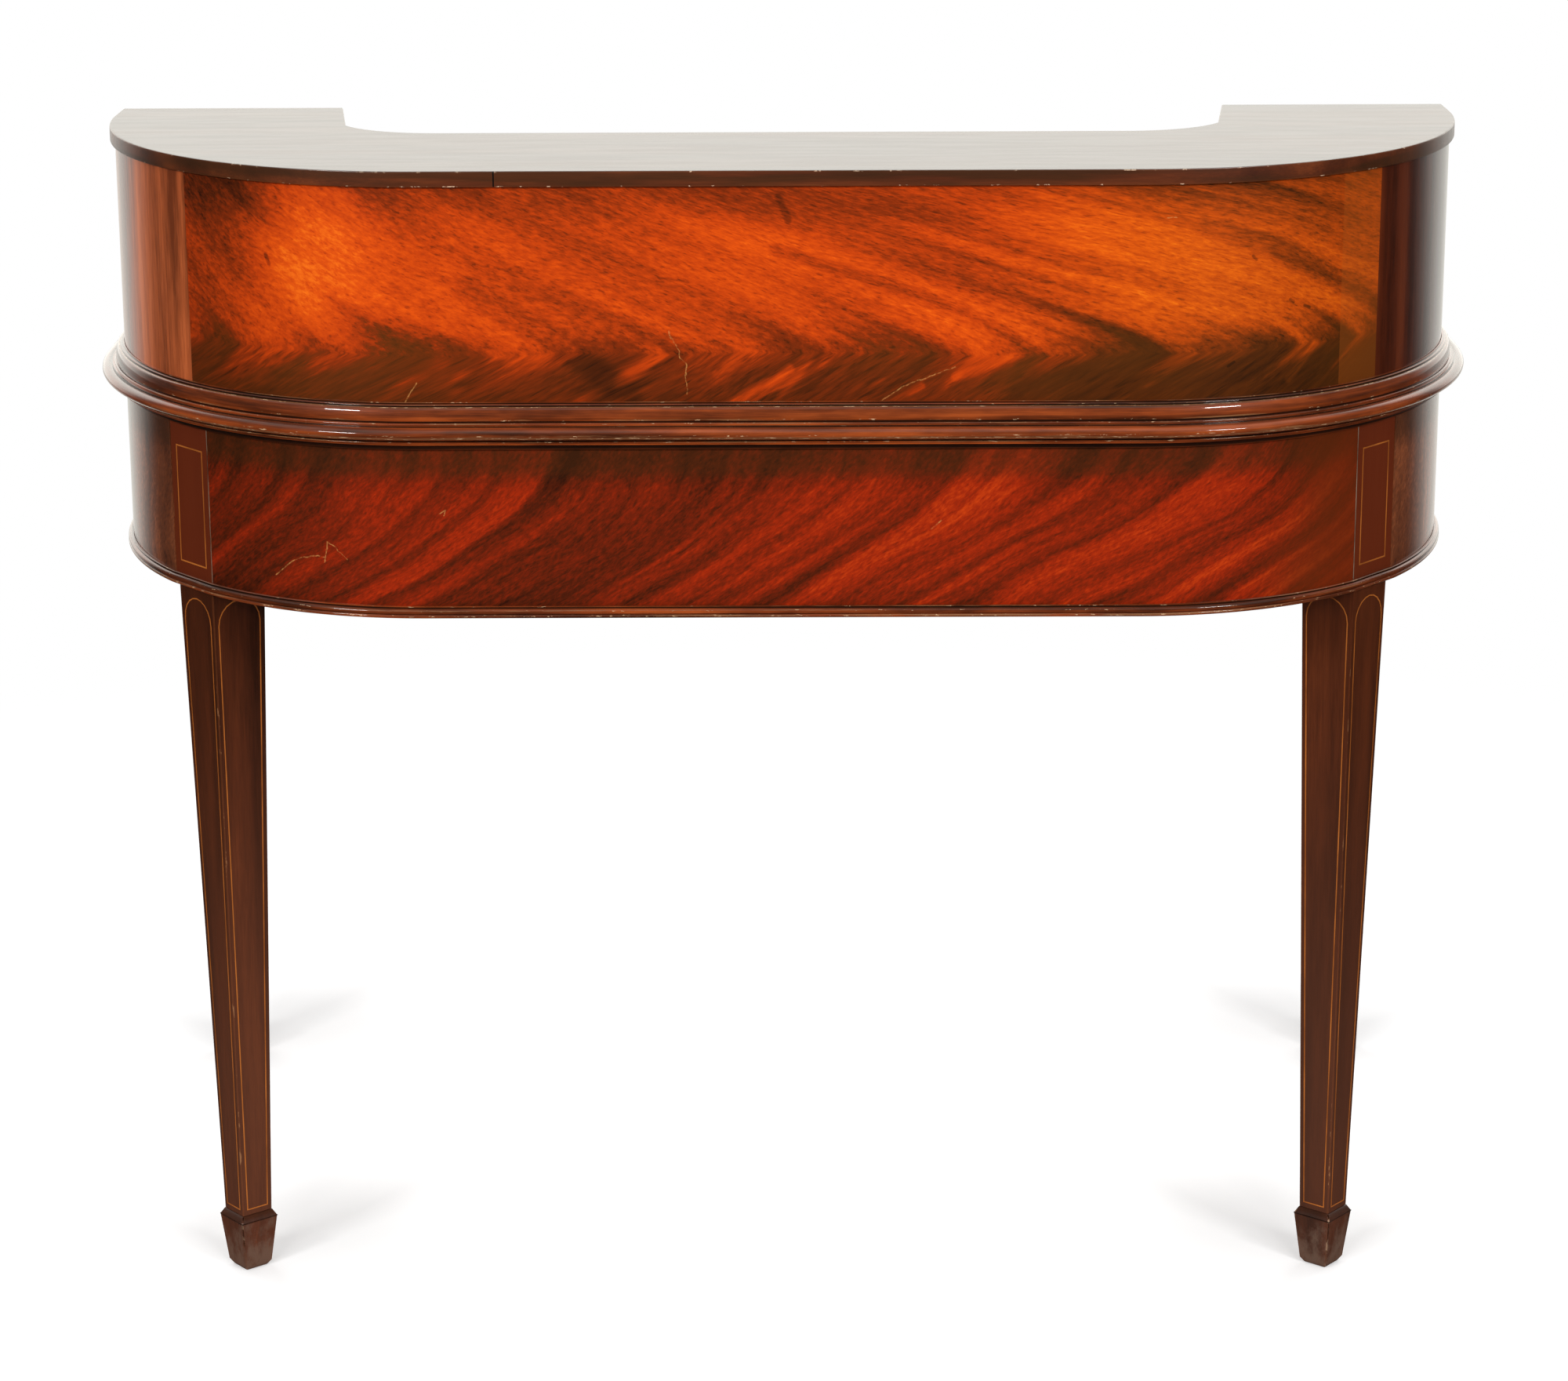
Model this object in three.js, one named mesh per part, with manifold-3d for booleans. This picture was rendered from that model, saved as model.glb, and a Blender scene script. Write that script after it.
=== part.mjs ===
// Carlton House desk: a writing table on tapered spade-foot legs, with a bow-cornered
// carcase and a U-shaped gallery of drawers, cupboards and lidded letter boxes.
// Millimetres, +Z up. X runs along the desk, the sitter is at -Y, the origin is on the
// floor under the middle of the top.

import * as THREE from "three";
import { mergeVertices } from "three/addons/utils/BufferGeometryUtils.js";
import Module from "manifold-3d";

const wasm = await Module();
wasm.setup();

// Carcase plan
const carcaseWidth = 1126;
const carcaseDepth = 660;
const cornerRadiusX = 279;
const cornerRadiusY = 332;
const cornerSteps = 20;

// Running and glue gaps
const glueGap = 0.3;
const slideGap = 1.5;
const cutOverrun = 5;

// Heights of the main levels
const friezeBottom = 605;
const friezeHeight = 137;
const boardThickness = 20;
const galleryWallHeight = 186.5;
const galleryTopThickness = 12.5;

// Legs and feet
const stileWidth = 57;
const headDepth = 52;
const stileAngle = 44.7;
const shaftTopWidth = 50;
const ankleWidth = 29;
const ankleHeight = 51.7;
const collarWidth = 35.5;
const collarDrop = 6;
const footBottomWidth = 27;
const footBottomRound = 1.5;

// Frieze rails and drawers
const apronThickness = 22;
const frontRailHeight = 18;
const frontRailDepth = 45;
const dividerWidth = 18;
const centreDrawerOpening = 500;
const bearerLedge = 15;
const outerBearerLedge = 25;
const outerBearerLap = 10;
const bearerPastDrawer = 5;
const drawerFrontThickness = 20;
const drawerSideThickness = 10;
const drawerBottomThickness = 8;
const drawerSideDrop = 22;
const sideDrawerBackRoom = 78;
const centreDrawerBackRoom = 158;

// Mouldings, each with its profile in shares of how far it stands out and how high it is,
// from its own foot at the carcase face
const beadOut = 4.5;
const beadHeight = 9.4;
const beadShares = [
  [0, 0], [0.8, 0], [1, 0.12], [1, 0.26], [0.67, 0.32], [0.93, 0.45], [0.93, 0.66], [0.53, 0.79],
  [0.53, 1], [0, 1],
];
const edgeOut = 19.5;
const edgeShares = [
  [0, 0], [0.18, 0], [0.28, 0.125], [0.51, 0.25], [0.51, 0.42], [0.67, 0.46], [0.87, 0.54], [1, 0.67],
  [1, 0.78], [0.9, 0.9], [0.72, 0.97], [0.51, 1], [0, 1],
];
const galleryFootOut = 9;
const galleryFootHeight = 17.4;
const galleryFootShares = [
  [0, 0], [1, 0], [1, 0.09], [0.82, 0.14], [0.87, 0.22], [0.8, 0.38], [0.62, 0.53], [0.49, 0.69],
  [0.47, 0.87], [0.33, 0.9], [0.33, 0.95], [0.16, 1], [0, 1],
];

// Writing slope, set flush in the board, and the stay that props it
const slopeSideMargin = 98;
const slopeFrontMargin = 40;
const slopeBackMargin = 107;
const slopeBedThickness = 7.7;
const slopeSideGap = 1;
const leatherSideMargin = 30;
const leatherEndMargin = 25;
const leatherRecess = 1.5;
const leatherThickness = 1.2;
const slopeWebThickness = 3.5;
const stayHeadroom = 2;
const stayEndMargin = 20;
const stayWidth = 160;
const stayBarWidth = 30;
const stayPivotEnd = 2.5;
const stayGrooveGap = 5;

// Gallery
const galleryWallThickness = 10;
const galleryFloorThickness = 8;
const topOverhang = 4;
const wellDepth = 213;
const doorFaceRadius = 92;
const doorSweep = 65;
const doorSteps = 12;
const doorThickness = 12;
const doorHeadGap = 1;
const doorEdgeGap = 1;
const doorFreeGapAngle = 0.7;
const doorBackBevelAngle = 6;
const wingStraight = 43;
const wingWidth = 185;
const wingPanelThickness = 10;

// Bank of small drawers and pigeonholes
const postThickness = 12;
const pigeonholeWidth = 83;
const partitionThickness = 6;
const bankDividerWidth = 8;
const bankShelfThickness = 6;
const lowerDrawerOpening = 85;
const bankDrawerBackRoom = 15;
const bankFrontThickness = 12;
const bankSideThickness = 6;
const bankDrawerGap = 1;

// Lidded letter boxes
const letterBoxFrontMargin = 115;
const letterBoxBackHeight = 110;
const letterBoxFrontHeight = 74;
const letterWall = 10;
const lidThickness = 10;
const lidOverhang = 3;
const lidFrontOverhang = 6;
const lidBackGap = 1.5;

// Turned knobs, each with its profile in shares of its radius and of its length
const largeKnobRadius = 11;
const largeKnobLength = 18;
const largeKnobShares = [
  [0, 0], [1, 0], [1, 0.09], [0.76, 0.16], [0.4, 0.22], [0.35, 0.44], [0.58, 0.56], [0.91, 0.69],
  [0.95, 0.81], [0.73, 0.93], [0.36, 0.99], [0, 1],
];
const smallKnobRadius = 7.5;
const smallKnobLength = 14;
const smallKnobShares = [
  [0, 0], [1, 0], [1, 0.09], [0.43, 0.17], [0.37, 0.43], [0.67, 0.54], [0.99, 0.69], [0.96, 0.84],
  [0.61, 0.96], [0, 1],
];
const knobSides = 16;
const centreKnobShare = 0.5;

const halfWidth = carcaseWidth / 2;
const halfDepth = carcaseDepth / 2;
const friezeTop = friezeBottom + friezeHeight;
const boardTop = friezeTop + boardThickness;
const galleryTopBottom = boardTop + galleryWallHeight;
const galleryFloorTop = boardTop + galleryFloorThickness;
const cornerCentreX = halfWidth - cornerRadiusX;
const cornerCentreY = halfDepth - cornerRadiusY;
const radians = THREE.MathUtils.degToRad;

const mahogany = new THREE.MeshStandardMaterial({ color: 0x7a2a12, roughness: 0.3, metalness: 0 });
const darkMahogany = new THREE.MeshStandardMaterial({ color: 0x3c1710, roughness: 0.32, metalness: 0 });
const oak = new THREE.MeshStandardMaterial({ color: 0xa9814f, roughness: 0.6, metalness: 0 });
const leather = new THREE.MeshStandardMaterial({ color: 0x23402c, roughness: 0.55, metalness: 0 });
const brass = new THREE.MeshStandardMaterial({ color: 0xb08d3f, roughness: 0.35, metalness: 1 });

const desk = new THREE.Group();
desk.name = "carlton_house_desk";

function add(name, geometry, material, parent = desk) {
  const mesh = new THREE.Mesh(geometry, material);
  mesh.name = name;
  parent.add(mesh);
  return mesh;
}

// A block between two corners
function block(xs, ys, zs) {
  const geometry = new THREE.BoxGeometry(xs[1] - xs[0], ys[1] - ys[0], zs[1] - zs[0]);
  return geometry.translate((xs[0] + xs[1]) / 2, (ys[0] + ys[1]) / 2, (zs[0] + zs[1]) / 2);
}

// A flat plan outline drawn up from one height to another
function plate(outline, bottom, top) {
  const shape = new THREE.Shape(outline.map(([x, y]) => new THREE.Vector2(x, y)));
  const geometry = new THREE.ExtrudeGeometry(shape, { depth: top - bottom, bevelEnabled: false });
  return geometry.translate(0, 0, bottom);
}

// A side view, as [y, z], drawn across from one x to another
function across(outline, left, right) {
  const turned = new THREE.Matrix4().makeBasis(
    new THREE.Vector3(0, 1, 0),
    new THREE.Vector3(0, 0, 1),
    new THREE.Vector3(1, 0, 0),
  );
  return plate(outline, left, right).applyMatrix4(turned);
}

// A skin over rings of equal count: each ring is a list of [x, y, z], counter-clockwise
// seen from the end that the rings run to. A loop closes on its first ring.
function skin(rings, loop = false) {
  const count = rings[0].length;
  const index = [];
  const last = loop ? rings.length : rings.length - 1;
  for (let r = 0; r < last; r += 1) {
    const here = r * count;
    const next = ((r + 1) % rings.length) * count;
    for (let i = 0; i < count; i += 1) {
      const j = (i + 1) % count;
      index.push(here + i, here + j, next + j, here + i, next + j, next + i);
    }
  }
  if (!loop) {
    for (const [start, ring] of [[0, rings[0]], [(rings.length - 1) * count, rings.at(-1)]]) {
      for (const triangle of capTriangles(ring)) {
        const corners = triangle.map((corner) => start + corner);
        index.push(...(start === 0 ? corners.reverse() : corners));
      }
    }
  }
  const geometry = new THREE.BufferGeometry();
  geometry.setAttribute("position", new THREE.Float32BufferAttribute(rings.flat(2), 3));
  geometry.setIndex(index);
  return geometry;
}

// Triangles over a flat ring, wherever it faces
function capTriangles(ring) {
  const corners = ring.map((corner) => new THREE.Vector3(...corner));
  const normal = new THREE.Vector3();
  corners.forEach((corner, i) => normal.add(corner.clone().cross(corners[(i + 1) % corners.length])));
  const flat = new THREE.Quaternion().setFromUnitVectors(normal.normalize(), new THREE.Vector3(0, 0, 1));
  const outline = corners.map((corner) => {
    const turned = corner.applyQuaternion(flat);
    return new THREE.Vector2(turned.x, turned.y);
  });
  return THREE.ShapeUtils.triangulateShape(outline, []);
}

function solid(geometry) {
  const bare = geometry.clone();
  bare.deleteAttribute("normal");
  bare.deleteAttribute("uv");
  const merged = mergeVertices(bare);
  return new wasm.Manifold(new wasm.Mesh({
    numProp: 3,
    vertProperties: new Float32Array(merged.attributes.position.array),
    triVerts: new Uint32Array(merged.index.array),
  }));
}

function geometryOf(body) {
  const { vertProperties, triVerts } = body.getMesh();
  const geometry = new THREE.BufferGeometry();
  geometry.setAttribute("position", new THREE.Float32BufferAttribute(vertProperties, 3));
  geometry.setIndex(Array.from(triVerts));
  return geometry;
}

function cut(geometry, ...tools) {
  return geometryOf(tools.reduce((body, tool) => body.subtract(solid(tool)), solid(geometry)));
}

function join(geometry, ...others) {
  return geometryOf(others.reduce((body, other) => body.add(solid(other)), solid(geometry)));
}

// Each point of a plan line moved out by a distance, with mitred corners. The line runs
// with the carcase on its left, so out is to the right of the way it runs.
function offsetLine(line, out, closed = false) {
  const normals = [];
  for (let i = 0; i < line.length; i += 1) {
    const [x, y] = line[i];
    const [nextX, nextY] = line[(i + 1) % line.length];
    const length = Math.hypot(nextX - x, nextY - y);
    normals.push([(nextY - y) / length, (x - nextX) / length]);
  }
  return line.map(([x, y], i) => {
    const before = i === 0 && !closed ? normals[0] : normals[(i + line.length - 1) % line.length];
    const after = i === line.length - 1 && !closed ? before : normals[i];
    const mitre = 1 + before[0] * after[0] + before[1] * after[1];
    return [x + (out * (before[0] + after[0])) / mitre, y + (out * (before[1] + after[1])) / mitre];
  });
}

// A profile drawn at its real size from its shares
function drawn(shares, width, height) {
  return shares.map(([across, up]) => [across * width, up * height]);
}

// A moulding: its profile carried along a plan line, foot at a height. The profile's
// inner edge keeps the glue gap from the face that it is fixed to.
function moulding(line, profile, foot, closed = false) {
  const section = [...profile].reverse();
  const lines = section.map(([out]) => offsetLine(line, Math.max(out, glueGap), closed));
  const rings = line.map((_, i) => section.map(([, up], p) => [...lines[p][i], foot + up]));
  return skin(rings, closed);
}

// The outer face at the right rear corner, by angle from the side to the back
function cornerPoint(angle) {
  return [
    cornerCentreX + cornerRadiusX * Math.cos(angle),
    cornerCentreY + cornerRadiusY * Math.sin(angle),
  ];
}

function mirrored(line) {
  return line.map(([x, y]) => [-x, y]).reverse();
}

// The two ends of a stretch across the desk, mirrored where the sign is negative
function span(sign, near, far) {
  return [sign * near, sign * far].sort((a, b) => a - b);
}
const sides = [["right", 1], ["left", -1]];

function cornerLine(from, to, steps) {
  const step = (to - from) / steps;
  return Array.from({ length: steps + 1 }, (_, i) => cornerPoint(from + i * step));
}

// The flat face of a rear stile: a chord across the corner, as wide as the stile
const stileMiddle = radians(stileAngle);
const stileHalfSpan = Math.asin(
  stileWidth / 2 / Math.hypot(cornerRadiusX * Math.sin(stileMiddle), cornerRadiusY * Math.cos(stileMiddle)),
);
const stileStart = stileMiddle - stileHalfSpan;
const stileEnd = stileMiddle + stileHalfSpan;
const stileTurn = Math.atan2(cornerRadiusY * Math.cos(stileMiddle), cornerRadiusX * Math.sin(stileMiddle));
const stileCentre = [0, 1].map((i) => (cornerPoint(stileStart)[i] + cornerPoint(stileEnd)[i]) / 2);

// Plan lines of the carcase, from the right side round the back to the left side
const quarterTurn = Math.PI / 2;
const sideSteps = Math.round((cornerSteps * stileStart) / quarterTurn);
const backSteps = Math.round((cornerSteps * (quarterTurn - stileEnd)) / quarterTurn);
const roundCorner = cornerLine(0, quarterTurn, cornerSteps);
const flatCorner = [...cornerLine(0, stileStart, sideSteps), ...cornerLine(stileEnd, quarterTurn, backSteps)];
const frontRight = [halfWidth, -halfDepth];
const roundOutline = [frontRight, ...roundCorner, ...mirrored([frontRight, ...roundCorner])];
const flatOutline = [frontRight, ...flatCorner, ...mirrored([frontRight, ...flatCorner])];

// LEGS: four tapered legs with square heads that are the stiles of the frieze, the rear
// pair turned to the bow corners, each on its own spade foot.
const legPlaces = [
  { side: "right", end: "rear", sign: 1 },
  { side: "left", end: "rear", sign: -1 },
  { side: "right", end: "front", sign: 1 },
  { side: "left", end: "front", sign: -1 },
];
const footTop = ankleHeight - glueGap;
const collarHeight = ankleHeight - collarDrop;

function squareRing(width, depth, height) {
  const [x, y] = [width / 2, depth / 2];
  return [[-x, -y, height], [x, -y, height], [x, y, height], [-x, y, height]];
}

for (const { side, end, sign } of legPlaces) {
  const rear = end === "rear";
  const headWidth = rear ? stileWidth : headDepth;
  const place = new THREE.Group();
  place.position.set(
    sign * (rear ? stileCentre[0] - (headDepth / 2) * Math.sin(stileTurn) : halfWidth - headDepth / 2),
    rear ? stileCentre[1] - (headDepth / 2) * Math.cos(stileTurn) : headDepth / 2 - halfDepth,
    0,
  );
  place.rotation.z = rear ? -sign * stileTurn : 0;
  desk.add(place);
  add(`leg_${end}_${side}`, skin([
    squareRing(ankleWidth, ankleWidth, ankleHeight),
    squareRing(shaftTopWidth, shaftTopWidth, friezeBottom),
    squareRing(headWidth, headDepth, friezeBottom),
    squareRing(headWidth, headDepth, friezeTop - glueGap),
  ]), darkMahogany, place);
  add(`spade_foot_${end}_${side}`, skin([
    squareRing(footBottomWidth - 2 * footBottomRound, footBottomWidth - 2 * footBottomRound, 0),
    squareRing(footBottomWidth, footBottomWidth, footBottomRound),
    squareRing(collarWidth, collarWidth, collarHeight),
    squareRing(ankleWidth, ankleWidth, footTop),
  ]), darkMahogany, place);
}

// APRONS: the veneered frieze at the back and round each side, cut to the leg heads
function ribbon(line, thickness) {
  return [...line, ...offsetLine(line, -thickness).reverse()];
}

function headSpace(sign) {
  const halfSpace = stileWidth / 2 + glueGap;
  const space = block(
    [-halfSpace, halfSpace],
    [-headDepth - glueGap, cutOverrun],
    [friezeBottom - cutOverrun, friezeTop + cutOverrun],
  );
  return space.rotateZ(-sign * stileTurn).translate(sign * stileCentre[0], stileCentre[1], 0);
}

const headBack = headDepth - halfDepth;
const sideRun = [[halfWidth, headBack], ...cornerLine(0, stileMiddle, sideSteps)];
const backRun = cornerLine(stileMiddle, quarterTurn, backSteps);
const backLine = [...backRun, ...mirrored(backRun)];
add("back_apron", cut(
  plate(ribbon(backLine, apronThickness), friezeBottom, friezeTop),
  headSpace(1),
  headSpace(-1),
), mahogany);
for (const [side, sign, line] of [["right", 1, sideRun], ["left", -1, mirrored(sideRun)]]) {
  add(`side_apron_${side}`, cut(
    plate(ribbon(line, apronThickness), friezeBottom, friezeTop),
    headSpace(sign),
  ), mahogany);
}

// FRONT FRAME: the rail under the drawers, two dividers, and the bearers that the drawers
// run on, from the rail to the back apron
const frontFace = -halfDepth;
const railTop = friezeBottom + frontRailHeight;
const railBack = frontFace + frontRailDepth;
const openingEdge = halfWidth - headDepth;
const centreEdge = centreDrawerOpening / 2;
const dividerEdge = centreEdge + dividerWidth;
add("front_rail", block(
  [-openingEdge, openingEdge],
  [frontFace, railBack],
  [friezeBottom, railTop],
), mahogany);

// How far back the apron's inner face stands at a place along the desk
const apronInsideLine = offsetLine(roundOutline, -apronThickness, true);

function apronInsideAt(place) {
  const after = apronInsideLine.findIndex(([x]) => x <= place);
  const [[x, y], [nextX, nextY]] = apronInsideLine.slice(after - 1);
  return y + ((nextY - y) * (place - x)) / (nextX - x);
}

const sideDrawerBack = apronInsideAt(openingEdge) - sideDrawerBackRoom;
for (const [side, sign] of sides) {
  add(`front_divider_${side}`, block(
    span(sign, centreEdge, dividerEdge),
    [frontFace, railBack],
    [railTop, friezeTop],
  ), mahogany);
  add(`inner_bearer_${side}`, block(
    span(sign, centreEdge - bearerLedge, dividerEdge + bearerLedge),
    [railBack, apronInsideAt(dividerEdge + bearerLedge) - glueGap],
    [friezeBottom, railTop],
  ), oak);
  add(`outer_bearer_${side}`, block(
    span(sign, openingEdge - outerBearerLedge, openingEdge + outerBearerLap),
    [headBack, sideDrawerBack + bearerPastDrawer],
    [friezeBottom, railTop],
  ), oak);
}

// LOWER BEAD: a small reeded moulding along the foot of the frieze, broken out flat and
// mitred across each rear stile
const beadProfile = drawn(beadShares, beadOut, beadHeight);
add("lower_bead", moulding(flatOutline, beadProfile, friezeBottom, true), darkMahogany);

// FRIEZE DRAWERS: three in a row, a solid front glued to a dovetailed oak box
const drawerFoot = railTop + glueGap;
const drawerHead = friezeTop - slideGap;
const frontBack = frontFace + drawerFrontThickness;

function drawerBox(xs, ys, zs, wall, bottom) {
  const hollow = block(
    [xs[0] + wall, xs[1] - wall],
    [ys[0] + wall, ys[1] - wall],
    [zs[0] + bottom, zs[1] + cutOverrun],
  );
  return cut(block(xs, ys, zs), hollow);
}

function knob(profile, x, z, face) {
  const outline = profile.map(([radius, out]) => new THREE.Vector2(radius, out));
  const turned = new THREE.LatheGeometry(outline, knobSides).rotateX(Math.PI);
  return turned.translate(x, face, z);
}

const drawerMiddle = (drawerFoot + drawerHead) / 2;
const centreKnobOut = centreEdge * centreKnobShare;
const largeKnobProfile = drawn(largeKnobShares, largeKnobRadius, largeKnobLength);
const friezeDrawers = [
  { name: "left", xs: [-openingEdge, -dividerEdge], back: sideDrawerBack },
  { name: "centre", xs: [-centreEdge, centreEdge], back: apronInsideAt(centreEdge) - centreDrawerBackRoom },
  { name: "right", xs: [dividerEdge, openingEdge], back: sideDrawerBack },
];
for (const { name, xs, back } of friezeDrawers) {
  const ends = [xs[0] + slideGap, xs[1] - slideGap];
  add(`frieze_drawer_front_${name}`, block(ends, [frontFace, frontBack], [drawerFoot, drawerHead]), mahogany);
  add(`frieze_drawer_box_${name}`, drawerBox(
    ends,
    [frontBack, back],
    [drawerFoot, drawerHead - drawerSideDrop],
    drawerSideThickness,
    drawerBottomThickness,
  ), oak);
  const middle = (ends[0] + ends[1]) / 2;
  const knobs = name === "centre"
    ? [["centre_left", middle - centreKnobOut], ["centre_right", middle + centreKnobOut]]
    : [[name, middle]];
  for (const [place, x] of knobs) {
    add(`frieze_knob_${place}`, knob(largeKnobProfile, x, drawerMiddle, frontFace), brass);
  }
}

// GALLERY PLAN: the well is the open space before the sitter. Its edge runs along the bank,
// round a hollow corner and along the wing; the faces stand back from the top's edge.
const bankEdge = halfDepth - wellDepth;
const bankFace = bankEdge + topOverhang;
const wellStraight = cornerCentreX;
const hollowCentreY = bankFace - doorFaceRadius;
const topHollowRadius = doorFaceRadius - topOverhang;
const wingFront = cornerCentreY - wingStraight;
const wingFace = wingFront + topOverhang;
const wingInnerFront = halfWidth - wingWidth;
const wingInnerFace = wingInnerFront + topOverhang;

function hollowPoint(radius, degrees) {
  const angle = radians(degrees);
  return [wellStraight + radius * Math.sin(angle), hollowCentreY + radius * Math.cos(angle)];
}

function hollowLine(radius, from, to) {
  const step = (to - from) / doorSteps;
  return Array.from({ length: doorSteps + 1 }, (_, i) => hollowPoint(radius, from + i * step));
}

// The right half of a U-shaped board: out along the outer line and back along the well
function galleryBoard(outerOffset, hollowRadius, wingInner, front) {
  const outer = offsetLine([[halfWidth, front], ...roundCorner], outerOffset);
  const inner = [...hollowLine(hollowRadius, doorSweep, 0).reverse(), [wingInner, front]];
  return [...mirrored(inner), ...inner, ...outer, ...mirrored(outer)];
}

// WRITING BOARD: the table top, framed round the bay of the slope, with a thin bed let into
// the foot of the bay, and the heavy torus moulding mitred round its edge
const slopeFront = frontFace + slopeFrontMargin;
const slopeBack = bankEdge - slopeBackMargin;
const bedTop = friezeTop + slopeBedThickness;
const slopeUnder = bedTop + glueGap;
const slopeEdge = wingInnerFront - slopeSideMargin;

function slopeBay(gap, bottom, top) {
  return block(
    [-slopeEdge - gap, slopeEdge + gap],
    [slopeFront - gap, slopeBack + gap],
    [bottom, top],
  );
}

add("writing_board", cut(
  plate(roundOutline, friezeTop, boardTop),
  slopeBay(slopeSideGap, friezeTop - cutOverrun, boardTop + cutOverrun),
), mahogany);
add("slope_bed", slopeBay(slopeSideGap - glueGap, friezeTop, bedTop), mahogany);
const edgeProfile = drawn(edgeShares, edgeOut, boardThickness);
add("board_edge_moulding", moulding(roundOutline, edgeProfile, friezeTop, true), darkMahogany);

// WRITING SLOPE: a clamped panel hinged at its front edge, with a tooled leather let in
// flush, and a folding stay housed in its underside
const leatherSides = slopeEdge - leatherSideMargin;
const leatherEnds = [slopeFront + leatherEndMargin, slopeBack - leatherEndMargin];
const stayLength = (slopeBack - slopeFront - stayEndMargin) / 2;
const stayGrooveTop = boardTop - leatherRecess - slopeWebThickness;
const stayTop = stayGrooveTop - stayHeadroom;
const stayPivot = slopeFront + stayLength;
const stayTip = stayPivot + stayLength;
const stayEdge = stayWidth / 2;
add("writing_slope", cut(
  block([-slopeEdge, slopeEdge], [slopeFront, slopeBack], [slopeUnder, boardTop]),
  block([-leatherSides, leatherSides], leatherEnds, [boardTop - leatherRecess, boardTop + cutOverrun]),
  block(
    [-stayEdge - slopeSideGap, stayEdge + slopeSideGap],
    [stayPivot - stayGrooveGap, stayTip + stayGrooveGap],
    [slopeUnder - cutOverrun, stayGrooveTop],
  ),
), mahogany);
add("slope_leather", block(
  [glueGap - leatherSides, leatherSides - glueGap],
  [leatherEnds[0] + glueGap, leatherEnds[1] - glueGap],
  [boardTop - leatherThickness, boardTop],
), leather);
add("slope_stay", cut(
  block([-stayEdge, stayEdge], [stayPivot - stayPivotEnd, stayTip], [slopeUnder, stayTop]),
  block(
    [stayBarWidth - stayEdge, stayEdge - stayBarWidth],
    [stayPivot + stayBarWidth, stayTip - stayBarWidth],
    [slopeUnder - cutOverrun, stayTop + cutOverrun],
  ),
), oak);

// GALLERY BOARDS: the floor inside the wall and the top over everything
const galleryFloorInset = -galleryWallThickness - glueGap;
add("gallery_floor", plate(
  galleryBoard(galleryFloorInset, doorFaceRadius, wingInnerFace, wingFace),
  boardTop,
  galleryFloorTop,
), oak);
add("gallery_top", plate(
  galleryBoard(topOverhang, topHollowRadius, wingInnerFront, wingFront),
  galleryTopBottom,
  galleryTopBottom + galleryTopThickness,
), darkMahogany);

// GALLERY WALL: the veneered back bent round both corners, with its foot moulding
const wallHalf = [[halfWidth, wingFace], ...roundCorner];
const wallLine = [...wallHalf, ...mirrored(wallHalf)];
add("gallery_wall", plate(ribbon(wallLine, galleryWallThickness), boardTop, galleryTopBottom), mahogany);

const letterBoxFront = frontFace + letterBoxFrontMargin;
const footRun = [[wingInnerFace, letterBoxFront], [halfWidth, letterBoxFront], ...roundCorner];
const footLine = [...footRun, ...mirrored(footRun)];
const galleryFootProfile = drawn(galleryFootShares, galleryFootOut, galleryFootHeight);
add("gallery_foot_moulding", moulding(footLine, galleryFootProfile, boardTop), darkMahogany);

// WING CASES: the panels that close each wing towards the sitter and at its front end
const wallInside = halfWidth - galleryWallThickness - glueGap;
const wingCorner = hollowPoint(doorFaceRadius, doorSweep);
const wingSplay = (wingInnerFace - wingCorner[0]) / (wingCorner[1] - wingFace);
const wingPanelBack = wingFace + wingPanelThickness;
const wingCasePlan = [
  wingCorner,
  [wingInnerFace, wingFace],
  [wallInside, wingFace],
  [wallInside, wingPanelBack],
  [wingInnerFace - wingSplay * wingPanelThickness + wingPanelThickness, wingPanelBack],
  [wingCorner[0] + wingPanelThickness, wingCorner[1]],
];
for (const [side, line] of [["right", wingCasePlan], ["left", mirrored(wingCasePlan)]]) {
  add(`wing_case_${side}`, plate(line, galleryFloorTop, galleryTopBottom), mahogany);
}

// BANK: posts beside the cupboards, thin partitions beside the pigeonholes, and a crossed
// divider between the four small drawers
const bankBack = halfDepth - galleryWallThickness - glueGap;
const partitionEdge = wellStraight - postThickness - pigeonholeWidth;
const drawerEdge = partitionEdge - partitionThickness;
const shelfBottom = galleryFloorTop + lowerDrawerOpening;
const shelfTop = shelfBottom + bankShelfThickness;
const bankDepth = [bankFace, bankBack];
const bankRise = [galleryFloorTop, galleryTopBottom];
for (const [side, sign] of sides) {
  add(`bank_post_${side}`, block(
    span(sign, wellStraight - postThickness, wellStraight),
    bankDepth,
    bankRise,
  ), mahogany);
  add(`bank_partition_${side}`, block(span(sign, drawerEdge, partitionEdge), bankDepth, bankRise), mahogany);
}
add("bank_divider", join(
  block([-bankDividerWidth / 2, bankDividerWidth / 2], bankDepth, bankRise),
  block([-drawerEdge, drawerEdge], bankDepth, [shelfBottom, shelfTop]),
), mahogany);

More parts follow.
